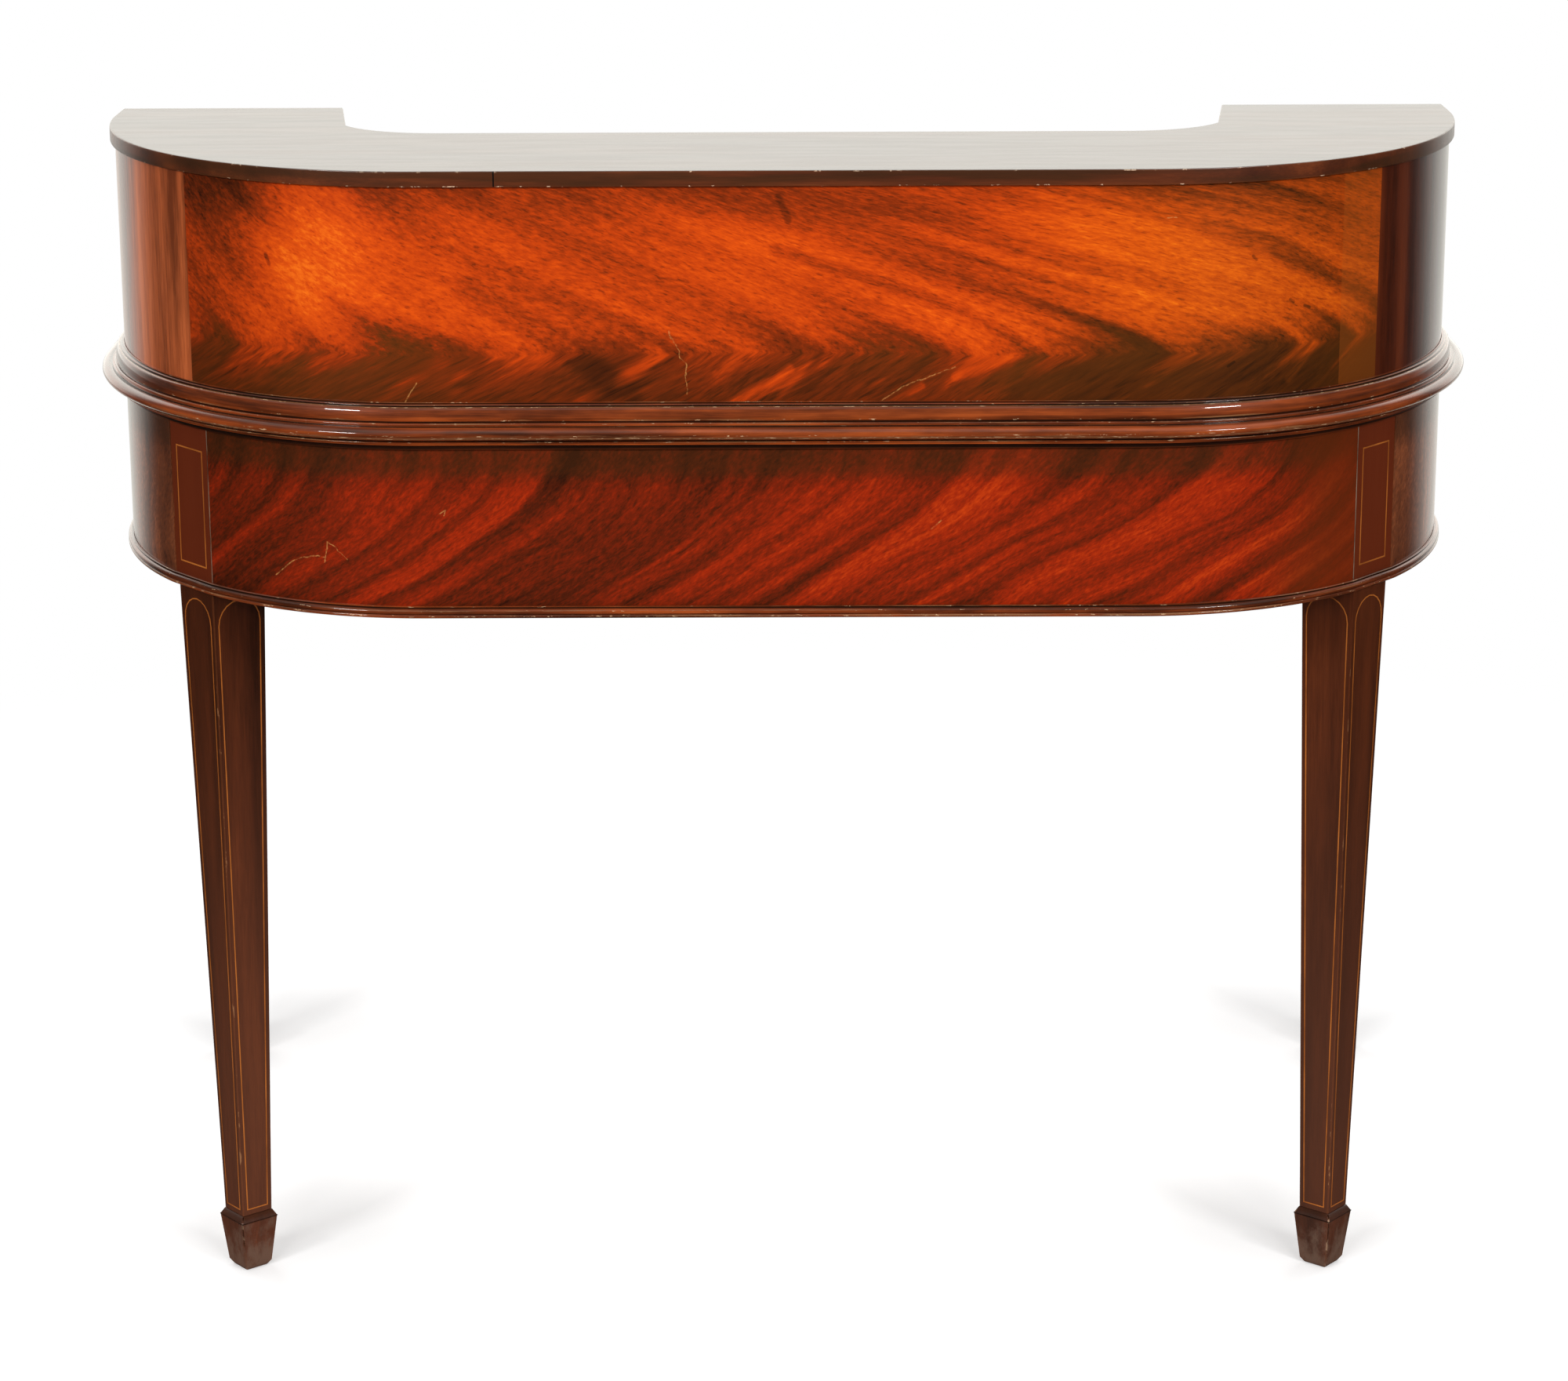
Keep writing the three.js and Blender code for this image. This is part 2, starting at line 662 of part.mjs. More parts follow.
// SMALL DRAWERS: two over two, each with one turned knob
const bankRows = [["lower", galleryFloorTop, shelfBottom], ["upper", shelfTop, galleryTopBottom]];
const bankDrawerBack = bankBack - bankDrawerBackRoom;
const smallKnobProfile = drawn(smallKnobShares, smallKnobRadius, smallKnobLength);
for (const [row, foot, head] of bankRows) {
  for (const [side, sign] of sides) {
    const xs = span(sign, bankDividerWidth / 2 + bankDrawerGap, drawerEdge - bankDrawerGap);
    const zs = [foot + glueGap, head - bankDrawerGap];
    const hollow = block(
      [xs[0] + bankSideThickness, xs[1] - bankSideThickness],
      [bankFace + bankFrontThickness, bankDrawerBack - bankSideThickness],
      [zs[0] + bankSideThickness, zs[1] + cutOverrun],
    );
    add(`bank_drawer_${row}_${side}`, cut(block(xs, [bankFace, bankDrawerBack], zs), hollow), mahogany);
    add(`bank_knob_${row}_${side}`, knob(
      smallKnobProfile,
      (xs[0] + xs[1]) / 2,
      (zs[0] + zs[1]) / 2,
      bankFace,
    ), brass);
  }
}

// CORNER DOORS: hollow-faced doors hung on the bank posts, the free edge bevelled to swing
const doorStartAngle = THREE.MathUtils.radToDeg(Math.asin(doorEdgeGap / doorFaceRadius));
const doorEndAngle = doorSweep - doorFreeGapAngle;
const doorPlan = [
  ...hollowLine(doorFaceRadius, doorStartAngle, doorEndAngle).reverse(),
  ...hollowLine(doorFaceRadius + doorThickness, doorStartAngle, doorEndAngle - doorBackBevelAngle),
];
for (const [side, line] of [["right", doorPlan], ["left", mirrored(doorPlan)]]) {
  add(`corner_door_${side}`, plate(
    line,
    galleryFloorTop + glueGap,
    galleryTopBottom - doorHeadGap,
  ), mahogany);
}

// LETTER BOXES: low boxes before the wings, under sloping lids hinged at the back
const letterBack = wingFace - glueGap;
const letterFall = (letterBoxBackHeight - letterBoxFrontHeight) / (wingFace - letterBoxFront);
const letterFloor = boardTop + galleryFloorThickness;
const lidBack = wingFace - lidBackGap;
const lidFront = letterBoxFront - lidFrontOverhang;

function rimHeight(y, above = 0) {
  return boardTop + letterBoxBackHeight + above + (y - wingFace) * letterFall;
}

const letterBoxSide = [
  [letterBoxFront, boardTop],
  [letterBack, boardTop],
  [letterBack, rimHeight(letterBack)],
  [letterBoxFront, rimHeight(letterBoxFront)],
];
const letterHollowSide = [
  [letterBoxFront + letterWall, letterFloor],
  [letterBack - letterWall, letterFloor],
  [letterBack - letterWall, rimHeight(letterBack, cutOverrun)],
  [letterBoxFront + letterWall, rimHeight(letterBoxFront, cutOverrun)],
];
const lidSide = [
  [lidFront, rimHeight(lidFront, glueGap)],
  [lidBack, rimHeight(lidBack, glueGap)],
  [lidBack, rimHeight(lidBack, glueGap + lidThickness)],
  [lidFront, rimHeight(lidFront, glueGap + lidThickness)],
];
for (const [side, sign] of sides) {
  const boxEnds = span(sign, wingInnerFace, halfWidth);
  const hollowEnds = span(sign, wingInnerFace + letterWall, halfWidth - letterWall);
  const lidEnds = span(sign, wingInnerFace - lidOverhang, halfWidth + lidOverhang);
  add(`letter_box_${side}`, cut(
    across(letterBoxSide, ...boxEnds),
    across(letterHollowSide, ...hollowEnds),
  ), mahogany);
  add(`letter_lid_${side}`, across(lidSide, ...lidEnds), mahogany);
}

export default desk;
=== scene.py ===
# Carlton House desk: a bow-cornered writing table in mahogany under a U-shaped gallery.
# Metres, +Z up. X runs along the desk to the sitter's right, the sitter is at -Y, the
# photographed back is at +Y, and the desk stands on the floor at Z = 0.

import math

import bmesh
import bpy
from mathutils import Matrix, Vector

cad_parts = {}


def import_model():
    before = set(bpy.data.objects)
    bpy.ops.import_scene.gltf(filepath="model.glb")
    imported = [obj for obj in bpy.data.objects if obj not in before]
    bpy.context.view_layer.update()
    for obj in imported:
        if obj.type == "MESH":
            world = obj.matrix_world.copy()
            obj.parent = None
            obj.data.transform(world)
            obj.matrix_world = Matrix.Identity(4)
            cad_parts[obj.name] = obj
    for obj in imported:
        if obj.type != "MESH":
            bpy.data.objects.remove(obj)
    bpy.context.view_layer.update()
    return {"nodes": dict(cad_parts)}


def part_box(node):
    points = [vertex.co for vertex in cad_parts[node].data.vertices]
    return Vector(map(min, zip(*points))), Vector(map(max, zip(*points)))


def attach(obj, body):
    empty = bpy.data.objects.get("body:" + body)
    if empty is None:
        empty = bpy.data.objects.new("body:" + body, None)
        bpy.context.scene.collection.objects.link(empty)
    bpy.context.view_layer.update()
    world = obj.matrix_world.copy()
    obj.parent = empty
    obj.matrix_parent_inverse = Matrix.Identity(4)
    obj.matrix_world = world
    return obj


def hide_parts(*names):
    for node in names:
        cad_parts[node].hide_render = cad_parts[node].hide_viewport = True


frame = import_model()
scene = bpy.context.scene

# CAMERA. It stands behind the desk, a little above its top, and looks slightly down on
# the gallery; the lens is a long one.
camera_place = (-0.01305, 3.4562, 1.4177)
camera_pitch = 0.27256
camera_yaw = 0.00384
camera_roll = -0.00401
camera = bpy.data.objects.new("camera", bpy.data.cameras.new("camera"))
camera.data.lens = 93.26
camera.data.sensor_width = 36.0
camera.data.sensor_fit = "HORIZONTAL"
camera.matrix_world = (
    Matrix.Translation(camera_place)
    @ Matrix.Rotation(math.pi + camera_yaw, 4, "Z")
    @ Matrix.Rotation(math.pi / 2 - camera_pitch, 4, "X")
    @ Matrix.Rotation(camera_roll, 4, "Z")
)
scene.collection.objects.link(camera)
scene.camera = camera
scene.view_settings.view_transform = "Standard"

# STUDIO. A white sweep beyond the desk, a dim room behind the camera, and three pairs of soft
# boxes, one before the desk and two behind it. Polish mirrors white from beyond the desk only.
room_level = 0.39
sweep_mirrored = 1.70
room_mirrored = 0.06
floor_mirrored = 0.85
dark_floor_mirrored = 0.012
mirror_edge = (-0.86, -0.50)
mirrored_tint = (1.0, 0.98, 0.91, 1)
overhead_mirrored = 0.9
overhead_edge = (0.50, 0.85)
softbox_aim = Vector((0, 0, 0.6))
softboxes = {
    "back": {"place": (2.3, 2.9, 2.3), "size": (0.85, 0.26), "watts": 44.0, "mirrored": True},
    "key": {"place": (1.3, 3.4, 1.9), "size": (1.2, 1.2), "watts": 36.0, "mirrored": False},
    "front": {"place": (-2.4, -2.8, 2.9), "size": (2.4, 2.4), "watts": 48.0, "mirrored": False},
}


def wire(kind, inputs, tree=None, **settings):
    """One shader node, with each input a value or another node's output. It goes into the
    tree of those outputs, unless a tree is given."""
    linked = {name: v for name, v in inputs.items() if isinstance(v, bpy.types.NodeSocket)}
    tree = tree or next(iter(linked.values())).id_data
    made = tree.nodes.new("ShaderNode" + kind)
    for name, value in settings.items():
        setattr(made, name, value)
    for name, value in inputs.items():
        if name in linked:
            tree.links.new(value, made.inputs[name])
        else:
            made.inputs[name].default_value = value
    return made


def calc(operation, *values, clamp=False):
    """The result of one sum, of values or outputs."""
    inputs = dict(enumerate(values))
    return wire("Math", inputs, operation=operation, use_clamp=clamp).outputs[0]


def scaled(value, factor, offset=0.0):
    return calc("MULTIPLY_ADD", value, factor, offset)


def added(first, *others):
    for other in others:
        first = calc("ADD", first, other)
    return first


def times(first, *others):
    for other in others:
        first = calc("MULTIPLY", first, other)
    return first


def swing(value, half):
    """A value from 0 to 1 as one about nought, from -half to half."""
    return scaled(value, 2 * half, -half)


def distance_to(value, middle):
    return calc("ABSOLUTE", scaled(value, 1.0, -middle))


def over(value, limit):
    return calc("GREATER_THAN", value, limit)


def under(value, limit):
    return calc("LESS_THAN", value, limit)


def least(first, *others):
    for other in others:
        first = calc("MINIMUM", first, other)
    return first


def between(value, low, high, start=0.0, end=1.0):
    """A smooth change from start to end, as value goes from low to high."""
    inputs = {"Value": value, "From Min": low, "From Max": high, "To Min": start, "To Max": end}
    return wire("MapRange", inputs, interpolation_type="SMOOTHSTEP").outputs[0]


def vector(operation, *values, output="Vector"):
    """The result of one sum of vectors, as a vector or a value."""
    return wire("VectorMath", dict(enumerate(values)), operation=operation).outputs[output]


def split(place):
    parts = wire("SeparateXYZ", {0: place}).outputs
    return parts["X"], parts["Y"], parts["Z"]


def joined(x, y, z=0.0):
    return wire("CombineXYZ", {"X": x, "Y": y, "Z": z}).outputs[0]


def northing(place):
    """How far to +Y of the origin a place or direction lies on the plan, from -1 to 1."""
    return split(vector("NORMALIZE", vector("MULTIPLY", place, (1, 1, 0))))[1]


def sum_of_shaders(first, *others):
    for other in others:
        first = wire("AddShader", {0: first.outputs[0], 1: other.outputs[0]})
    return first.outputs[0]


world = bpy.data.worlds.new("studio")
scene.world = world
world.use_nodes = True
tree = world.node_tree
tree.nodes.clear()
path = wire("LightPath", {}, tree)
ahead = wire("NewGeometry", {}, tree).outputs["Position"]
around_level = between(northing(ahead), *mirror_edge, sweep_mirrored, room_mirrored)
above_level = between(split(ahead)[2], *overhead_edge, 0.0, overhead_mirrored)
lit = times(path.outputs["Is Glossy Ray"], calc("MAXIMUM", around_level, above_level))
seen = calc("MAXIMUM", path.outputs["Is Camera Ray"], path.outputs["Is Transmission Ray"])
diffuse = times(path.outputs["Is Diffuse Ray"], room_level)
white = wire("Background", {"Color": (1, 1, 1, 1), "Strength": added(seen, diffuse)})
tinted = wire("Background", {"Color": mirrored_tint, "Strength": lit})
wire("OutputWorld", {"Surface": sum_of_shaders(white, tinted)})

floor_half = 9.0
floor_drop = 0.0004
floor_albedo = 0.86
floor_lift = 0.38
painted_shadow_lift = 0.15
painted_shadow_fade = (0.03, 0.20)
shadow_shift = (-0.035, -0.085)
floor_fade = (0.95, 1.9)
bm = bmesh.new()
bmesh.ops.create_grid(bm, x_segments=1, y_segments=1, size=floor_half)
bmesh.ops.translate(bm, verts=bm.verts, vec=(0, 0, -floor_drop))
mesh = bpy.data.meshes.new("floor")
bm.to_mesh(mesh)
bm.free()
floor = bpy.data.objects.new("floor", mesh)
scene.collection.objects.link(floor)
paper = bpy.data.materials.new("paper_sweep")
paper.use_nodes = True
tree = paper.node_tree
tree.nodes.clear()
path = wire("LightPath", {}, tree)
place = wire("TexCoord", {}, tree).outputs["Object"]
x, y, _ = split(place)
folded = joined(calc("ABSOLUTE", x), y)
# Painted shadow: the floor's glow is lowered round each foot, about a spot moved the way the foot's
# shadow falls, so the floor is darker there.
glow_with_painted_shadows = floor_lift
for end in ("rear", "front"):
    low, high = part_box(f"spade_foot_{end}_right")
    shade = ((low.x + high.x) / 2 + shadow_shift[0], (low.y + high.y) / 2 + shadow_shift[1], 0)
    gap = vector("DISTANCE", folded, shade, output="Value")
    glow_with_painted_shadows = least(glow_with_painted_shadows, between(gap, *painted_shadow_fade, painted_shadow_lift, floor_lift))
near = between(vector("LENGTH", place, output="Value"), *floor_fade, 1.0, 0.0)
level = added(1.0, times(near, added(glow_with_painted_shadows, -1.0)))
mirrored_level = between(northing(place), *mirror_edge, floor_mirrored, dark_floor_mirrored)
glossy = path.outputs["Is Glossy Ray"]
albedo = times(scaled(near, floor_albedo), calc("SUBTRACT", 1.0, glossy))
grey = wire("CombineColor", {"Red": albedo, "Green": albedo, "Blue": albedo})
matt = wire("BsdfDiffuse", {"Color": grey.outputs[0]})
glow = wire("Emission", {"Strength": times(path.outputs["Is Camera Ray"], level)})
tinted = wire("Emission", {"Color": mirrored_tint, "Strength": times(glossy, mirrored_level)})
wire("OutputMaterial", {"Surface": sum_of_shaders(matt, glow, tinted)})
floor.data.materials.append(paper)

for pair, box in softboxes.items():
    for side, sign in (("left", 1), ("right", -1)):
        name = f"softbox_{pair}_{side}"
        lamp = bpy.data.lights.new(name, "AREA")
        lamp.shape = "RECTANGLE"
        lamp.size, lamp.size_y = box["size"]
        lamp.energy = box["watts"]
        holder = bpy.data.objects.new(name, lamp)
        x, y, z = box["place"]
        place = Vector((sign * x, y, z))
        aim = (softbox_aim - place).to_track_quat("-Z", "Y")
        holder.matrix_world = Matrix.Translation(place) @ aim.to_matrix().to_4x4()
        holder.visible_glossy = box["mirrored"]
        scene.collection.objects.link(holder)

# GALLERY WALL. The back of the gallery is a pine core bent round both corners and faced with
# flame mahogany. The figure sweeps across and falls to a row of hooks near the foot, where
# it folds back.
corner_x = 0.279
corner_y = 0.332
corner_steps = 44
wall_low, wall_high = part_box("gallery_wall")
half_width, half_depth = wall_high.x, wall_high.y
wall_thickness = 0.010
smooth_angle = math.radians(34)
sides = (("right", 1), ("left", -1))


def corner_line(start, end):
    """The carcase face round the right rear corner, by angle from the side to the back."""
    steps = max(2, round(corner_steps * (end - start) / (math.pi / 2)))
    angles = [start + (end - start) * i / steps for i in range(steps + 1)]
    middle = Vector((half_width - corner_x, half_depth - corner_y))
    return [middle + Vector((corner_x * math.cos(a), corner_y * math.sin(a))) for a in angles]


def mirrored(line):
    return [Vector((-point.x, point.y)) for point in reversed(line)]


def stand_off(line, out, closed=False):
    """Each point moved out from the carcase by a distance, with the mitres cut."""
    count = len(line)
    normals = []
    for i, point in enumerate(line):
        step = (line[(i + 1) % count] - point).normalized()
        normals.append(Vector((step.y, -step.x)))
    moved = []
    for i, point in enumerate(line):
        before = normals[i - 1] if closed or i > 0 else normals[0]
        after = normals[i] if closed or i < count - 1 else before
        moved.append(point + (before + after) * out / (1 + before.dot(after)))
    return moved


def bench():
    """A new bmesh, whose faces can be marked as an arris that wears."""
    bm = bmesh.new()
    bm.faces.layers.float.new("arris")
    return bm


def girth(section):
    """How far round a closed section each of its points is, with the whole way round last."""
    around = [0.0]
    for a, b in zip(section, section[1:] + section[:1]):
        around.append(around[-1] + math.dist(a, b))
    return around


def length_of(line):
    return sum((b - a).length for a, b in zip(line, line[1:]))


def run_section(line, section, closed=False):
    """A closed section of (out, up) points carried along a plan line, with its UV map in
    metres: U along the run, V round the section."""
    bm = bench()
    ring_of = bm.verts.layers.int.new("ring")
    point_of = bm.verts.layers.int.new("point")
    lines = [stand_off(line, out, closed) for out, _ in section]
    first = [bm.verts.new((*lines[p][0], up)) for p, (_, up) in enumerate(section)]
    for p, vert in enumerate(first):
        vert[point_of] = p
    start_edges = [bm.edges.new(pair) for pair in zip(first, first[1:] + first[:1])]
    edges = start_edges
    for r in range(1, len(line)):
        grown = bmesh.ops.extrude_edge_only(bm, edges=edges)["geom"]
        verts = {item for item in grown if isinstance(item, bmesh.types.BMVert)}
        for vert in verts:
            vert[ring_of] = r
            vert.co.xy = lines[vert[point_of]][r]
        edges = [e for e in grown if isinstance(e, bmesh.types.BMEdge) and set(e.verts) <= verts]
    if closed:
        bmesh.ops.bridge_loops(bm, edges=start_edges + edges)
    else:
        bmesh.ops.edgeloop_fill(bm, edges=start_edges)
        bmesh.ops.edgeloop_fill(bm, edges=edges)
    bmesh.ops.recalc_face_normals(bm, faces=bm.faces)
    along = [0.0]
    for a, b in zip(line, line[1:] + line[:1]):
        along.append(along[-1] + (b - a).length)
    around = girth(section)
    uv = bm.loops.layers.uv.new("Run")
    last_ring, last_point = len(line) - 1, len(section) - 1
    for face in bm.faces:
        rings = {loop.vert[ring_of] for loop in face.loops}
        points = {loop.vert[point_of] for loop in face.loops}
        ring_wrap = closed and {0, last_ring} <= rings
        point_wrap = len(points) == 2 and {0, last_point} <= points
        for loop in face.loops:
            ring, point = loop.vert[ring_of], loop.vert[point_of]
            u = along[-1] if ring_wrap and ring == 0 else along[ring]
            v = around[-1] if point_wrap and point == 0 else around[point]
            loop[uv].uv = (u, v)
    return bm


def flatten(mesh):
    """Weighs the normals at each corner by the size of the faces, so that flat faces shade
    flat up to their eased edges."""
    fans = []
    for loop, corner in zip(mesh.loops, mesh.corner_normals):
        fans.append((loop.vertex_index, *(round(part, 3) for part in corner.vector)))
    normals = {}
    for face in mesh.polygons:
        for i in face.loop_indices:
            normals[fans[i]] = normals.get(fans[i], Vector()) + face.normal * face.area
    mesh.normals_split_custom_set([normals[fan].normalized() for fan in fans])


def fit(name, bm, finish, body="carcase", node=None):
    """The bmesh as a finished piece: smooth but for its sharp edges, in its finish, on its
    body, in place of a CAD node if one is named."""
    mesh = bpy.data.meshes.new(name)
    bm.to_mesh(mesh)
    bm.free()
    mesh.shade_smooth()
    mesh.set_sharp_from_angle(angle=smooth_angle)
    flatten(mesh)
    mesh.materials.append(finish)
    piece = bpy.data.objects.new(name, mesh)
    scene.collection.objects.link(piece)
    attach(piece, body)
    if node:
        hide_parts(node)


def new_finish(name):
    finish = bpy.data.materials.new(name)
    finish.use_nodes = True
    finish.node_tree.nodes.clear()
    return finish, finish.node_tree


def object_place(tree):
    return wire("TexCoord", {}, tree).outputs["Object"]


def run_place(tree):
    return wire("UVMap", {}, tree, uv_map="Run").outputs[0]


def clouds(place, scale, seed=0.0, detail=3.0, roughness=0.55):
    """Cloudy noise from 0 to 1, drawn out by a scale on each axis."""
    at = vector("MULTIPLY_ADD", place, scale, (seed, seed, seed))
    inputs = {"Vector": at, "Scale": 1.0, "Detail": detail, "Roughness": roughness}
    return wire("TexNoise", inputs).outputs[0]


def ramp(value, stops):
    """A colour from a list of (position, linear colour) stops."""
    made = wire("ValToRGB", {0: value})
    elements = made.color_ramp.elements
    while len(elements) < len(stops):
        elements.new(0.5)
    for element, (position, colour) in zip(elements, stops):
        element.position = position
        element.color = (*colour, 1)
    return made.outputs[0]


def blend_colours(share, first, second, kind="MIX"):
    """Two colours mixed, each an output or a linear colour."""
    first, second = ((*c, 1) if isinstance(c, tuple) else c for c in (first, second))
    inputs = {0: share, 6: first, 7: second}
    return wire("Mix", inputs, data_type="RGBA", blend_type=kind).outputs[2]


def surface(inputs, bump, bump_depth, strength=1.0):
    """The shader that a finish ends in, raised by a bump in metres."""
    raised = wire("Bump", {"Height": bump, "Distance": bump_depth, "Strength": strength})
    shader = wire("BsdfPrincipled", {**inputs, "Normal": raised.outputs[0]})
    wire("OutputMaterial", {"Surface": shader.outputs[0]})


def polish(colour, bump, bump_depth=0.00006, roughness=0.36, coat_roughness=0.07, coat=1.0):
    """French polish: a clear coat over the softer sheen of the wood."""
    surface({
        "Base Color": colour,
        "Roughness": roughness,
        "Specular IOR Level": wood_sheen,
        "Coat Weight": coat,
        "Coat Roughness": coat_roughness,
        "Coat IOR": polish_ior,
    }, bump, bump_depth)


wood_sheen = 0.12
polish_ior = 1.45
flame_stops = [
    (0.00, (0.022, 0.0040, 0.0010)),
    (0.20, (0.080, 0.0120, 0.0014)),
    (0.42, (0.230, 0.0240, 0.0016)),
    (0.62, (0.480, 0.0440, 0.0018)),
    (0.80, (0.665, 0.0740, 0.0025)),
    (1.00, (0.860, 0.1600, 0.0070)),
]


def flame(across, along, seed, broad_share, fine_share=0.16, fibre_share=0.22, squeeze=1.5):
    """Flame figure about nought: its streaks, its fibres with their dark flecks, and its pores.
    Squeeze is how far the flow has drawn the figure together across."""
    flow = joined(across, along)
    broad = clouds(flow, (17, 3.2, 1), seed, 2.5, 0.5)
    fine = clouds(flow, (110 / squeeze, 8, 1), seed + 3.1, 3.0, 0.6)
    fibres = clouds(flow, (560 / squeeze, 170, 1), seed + 4.4, 3.0, 0.65)
    pores = clouds(flow, (1100 / squeeze, 200, 1), seed + 5.7, 2.0, 0.6)
    flecks = clouds(flow, (900 / squeeze, 210, 1), seed + 6.3, 1.0)
    half = 0.72 * broad_share
    streaks = added(between(broad, 0.34, 0.64, -half, half), swing(fine, fine_share))
    dark = between(flecks, 0.54, 0.78, 0.0, -0.5 * fibre_share)
    return streaks, added(swing(fibres, fibre_share), dark), pores


def scratch(spot, points, half_width=0.0007):
    """One on a scratch through a few points of a veneer's own plane, and nought off it."""
    gaps = []
    for start, end in zip(points, points[1:]):
        length = math.dist(start, end)
        ahead = ((end[0] - start[0]) / length, (end[1] - start[1]) / length, 0)
        offset = vector("SUBTRACT", spot, (*start, 0))
        run = vector("DOT_PRODUCT", offset, ahead, output="Value")
        run = least(calc("MAXIMUM", run, 0.0), length)
        foot = wire("VectorMath", {0: ahead, "Scale": run}, operation="SCALE").outputs[0]
        gaps.append(vector("DISTANCE", offset, foot, output="Value"))
    return between(least(*gaps), half_width * 0.3, half_width, 1.0, 0.0)


def marked(colour, spot, scratches, seed):
    """Scratches and small pale dents in a veneer."""
    broken = clouds(spot, (240, 240, 1), seed, 3.0, 0.7)
    shown = between(broken, 0.38, 0.62, 0.05, 0.60)
    wander = swing(clouds(spot, (90, 90, 1), seed + 1.0, 2.0), 0.0035)
    off_spot = vector("ADD", spot, joined(wander, wander))
    for points in scratches:
        colour = blend_colours(times(scratch(off_spot, points), shown), colour, dent_tone)
    dents = wire("TexVoronoi", {"Vector": spot, "Scale": dent_spread, "Randomness": 1.0})
    dented = under(dents.outputs["Distance"], dent_size)
    return blend_colours(times(dented, shown), colour, dent_tone)


dent_tone = (0.56, 0.25, 0.070)
dent_spread = 11.0
dent_size = 0.013
pine_stops = [(0.3, (0.20, 0.085, 0.028)), (0.7, (0.30, 0.145, 0.055))]
wall_half = [Vector((half_width, wall_low.y))] + corner_line(0, math.pi / 2)
wall_line = wall_half + mirrored(wall_half)
wall_height = wall_high.z - wall_low.z
wall_section = [
    (0, wall_low.z), (0, wall_high.z), (-wall_thickness, wall_high.z), (-wall_thickness, wall_low.z),
]
veneer_roughness = 0.42
left_joint = 0.501
right_joint = 0.458
strip_width = 0.047

side_stops = [
    (0.20, (0.165, 0.0330, 0.0085)),
    (0.50, (0.450, 0.1000, 0.0280)),
    (0.80, (0.740, 0.1850, 0.0540)),
]
right_tint = (0.18, 0.13, 0.10)
ripe_tint = (0.98, 1.38, 1.0)
olive_tone = (0.092, 0.027, 0.0028)
strip_tone = (0.38, 0.085, 0.008)
strip_share = 0.24
gallery_strokes = [
    ([(-0.243, 0.107), (-0.182, 0.070), (-0.121, 0.023)], 0.016, -0.12),
    ([(-0.190, 0.176), (-0.146, 0.160)], 0.010, -0.10),
    ([(-0.002, 0.178), (0.006, 0.160)], 0.004, -0.16),
    ([(-0.005, 0.137), (0.074, 0.113), (0.141, 0.090), (0.184, 0.067)], 0.007, -0.14),
    ([(-0.045, 0.012), (0.006, 0.043)], 0.006, 0.20),
    ([(0.062, 0.003), (0.110, 0.029)], 0.004, 0.17),
    ([(0.136, 0.036), (0.188, 0.054)], 0.005, 0.11),
    ([(0.405, 0.028), (0.432, 0.054)], 0.005, 0.16),
    ([(-0.410, 0.129), (-0.407, 0.122)], 0.0026, -0.28),
    ([(0.370, 0.128), (0.373, 0.125)], 0.0018, -0.24),
    ([(0.405, 0.091), (0.408, 0.089)], 0.0020, -0.24),
    ([(0.419, 0.085), (0.424, 0.083)], 0.0018, -0.24),
    ([(0.351, 0.042), (0.356, 0.045)], 0.0016, -0.20),
]
# Patches along the wall, each (middle, half width, change): the two that brighten are a painted sheen,
# the lamps' soft reflection on the bow corners; the two that darken make the wall darker there.
gallery_sheen_and_dark_patches = [
    (-0.365, 0.080, 0.19), (0.24, 0.15, 0.05), (-0.465, 0.100, -0.27), (0.43, 0.10, -0.08),
]
gallery_scratches = [
    [(-0.088, 0.073), (-0.075, 0.045), (-0.073, 0.024)],
    [(-0.303, 0.005), (-0.286, 0.032)],
    [(0.063, 0.006), (0.094, 0.028), (0.136, 0.044)],
    [(0.300, 0.161), (0.307, 0.161)],
]

gallery_veneer, tree = new_finish("gallery_veneer")
u, v, _ = split(run_place(tree))
p = calc("SUBTRACT", u, length_of(wall_line) / 2)
spot = joined(p, v)

hook = scaled(clouds(joined(p, 0.0), (5.0, 1, 1), 4.4, 1.0), 0.016, 0.046)
sway = clouds(spot, (3.2, 5, 1), 1.7, 1.5)
above = calc("SUBTRACT", v, hook)
upper = calc("MAXIMUM", above, 0.0)
lower = calc("MAXIMUM", scaled(above, -1.0), 0.0)
climb = times(calc("POWER", upper, 1.34), between(p, -0.62, 0.10, 2.2, 5.6))
across = added(p, climb, scaled(lower, 1.75), swing(sway, 0.05))
along = added(v, scaled(p, -0.35))
streaks, grain, pores = flame(across, along, 2.3, 0.15, 0.18, 0.31, 3.6)

tongues = clouds(joined(across, along), (15, 2.6, 1), 9.1, 2.5)
lit = added(above, swing(tongues, 0.080))
rise = between(lit, -0.022, 0.040, between(p, 0.05, 0.35, 0.30, 0.08), 0.655)
folds = times(between(lit, -0.020, 0.030, 0.45, 1.0), between(p, 0.0, 0.20, 0.60, 1.1))
crisp = between(lit, -0.020, 0.040, 0.80, 1.0)
slivers = clouds(joined(across, added(p, v)), (24, 8, 1), 12.4, 2.0)
kindled = times(
    between(above, -0.004, 0.012, 1.0, 0.0), between(slivers, 0.58, 0.70, 0.0, 0.26),
    between(p, -0.36, -0.22, 0.2, 1.0), between(p, 0.10, 0.30, 1.0, 0.3),
)
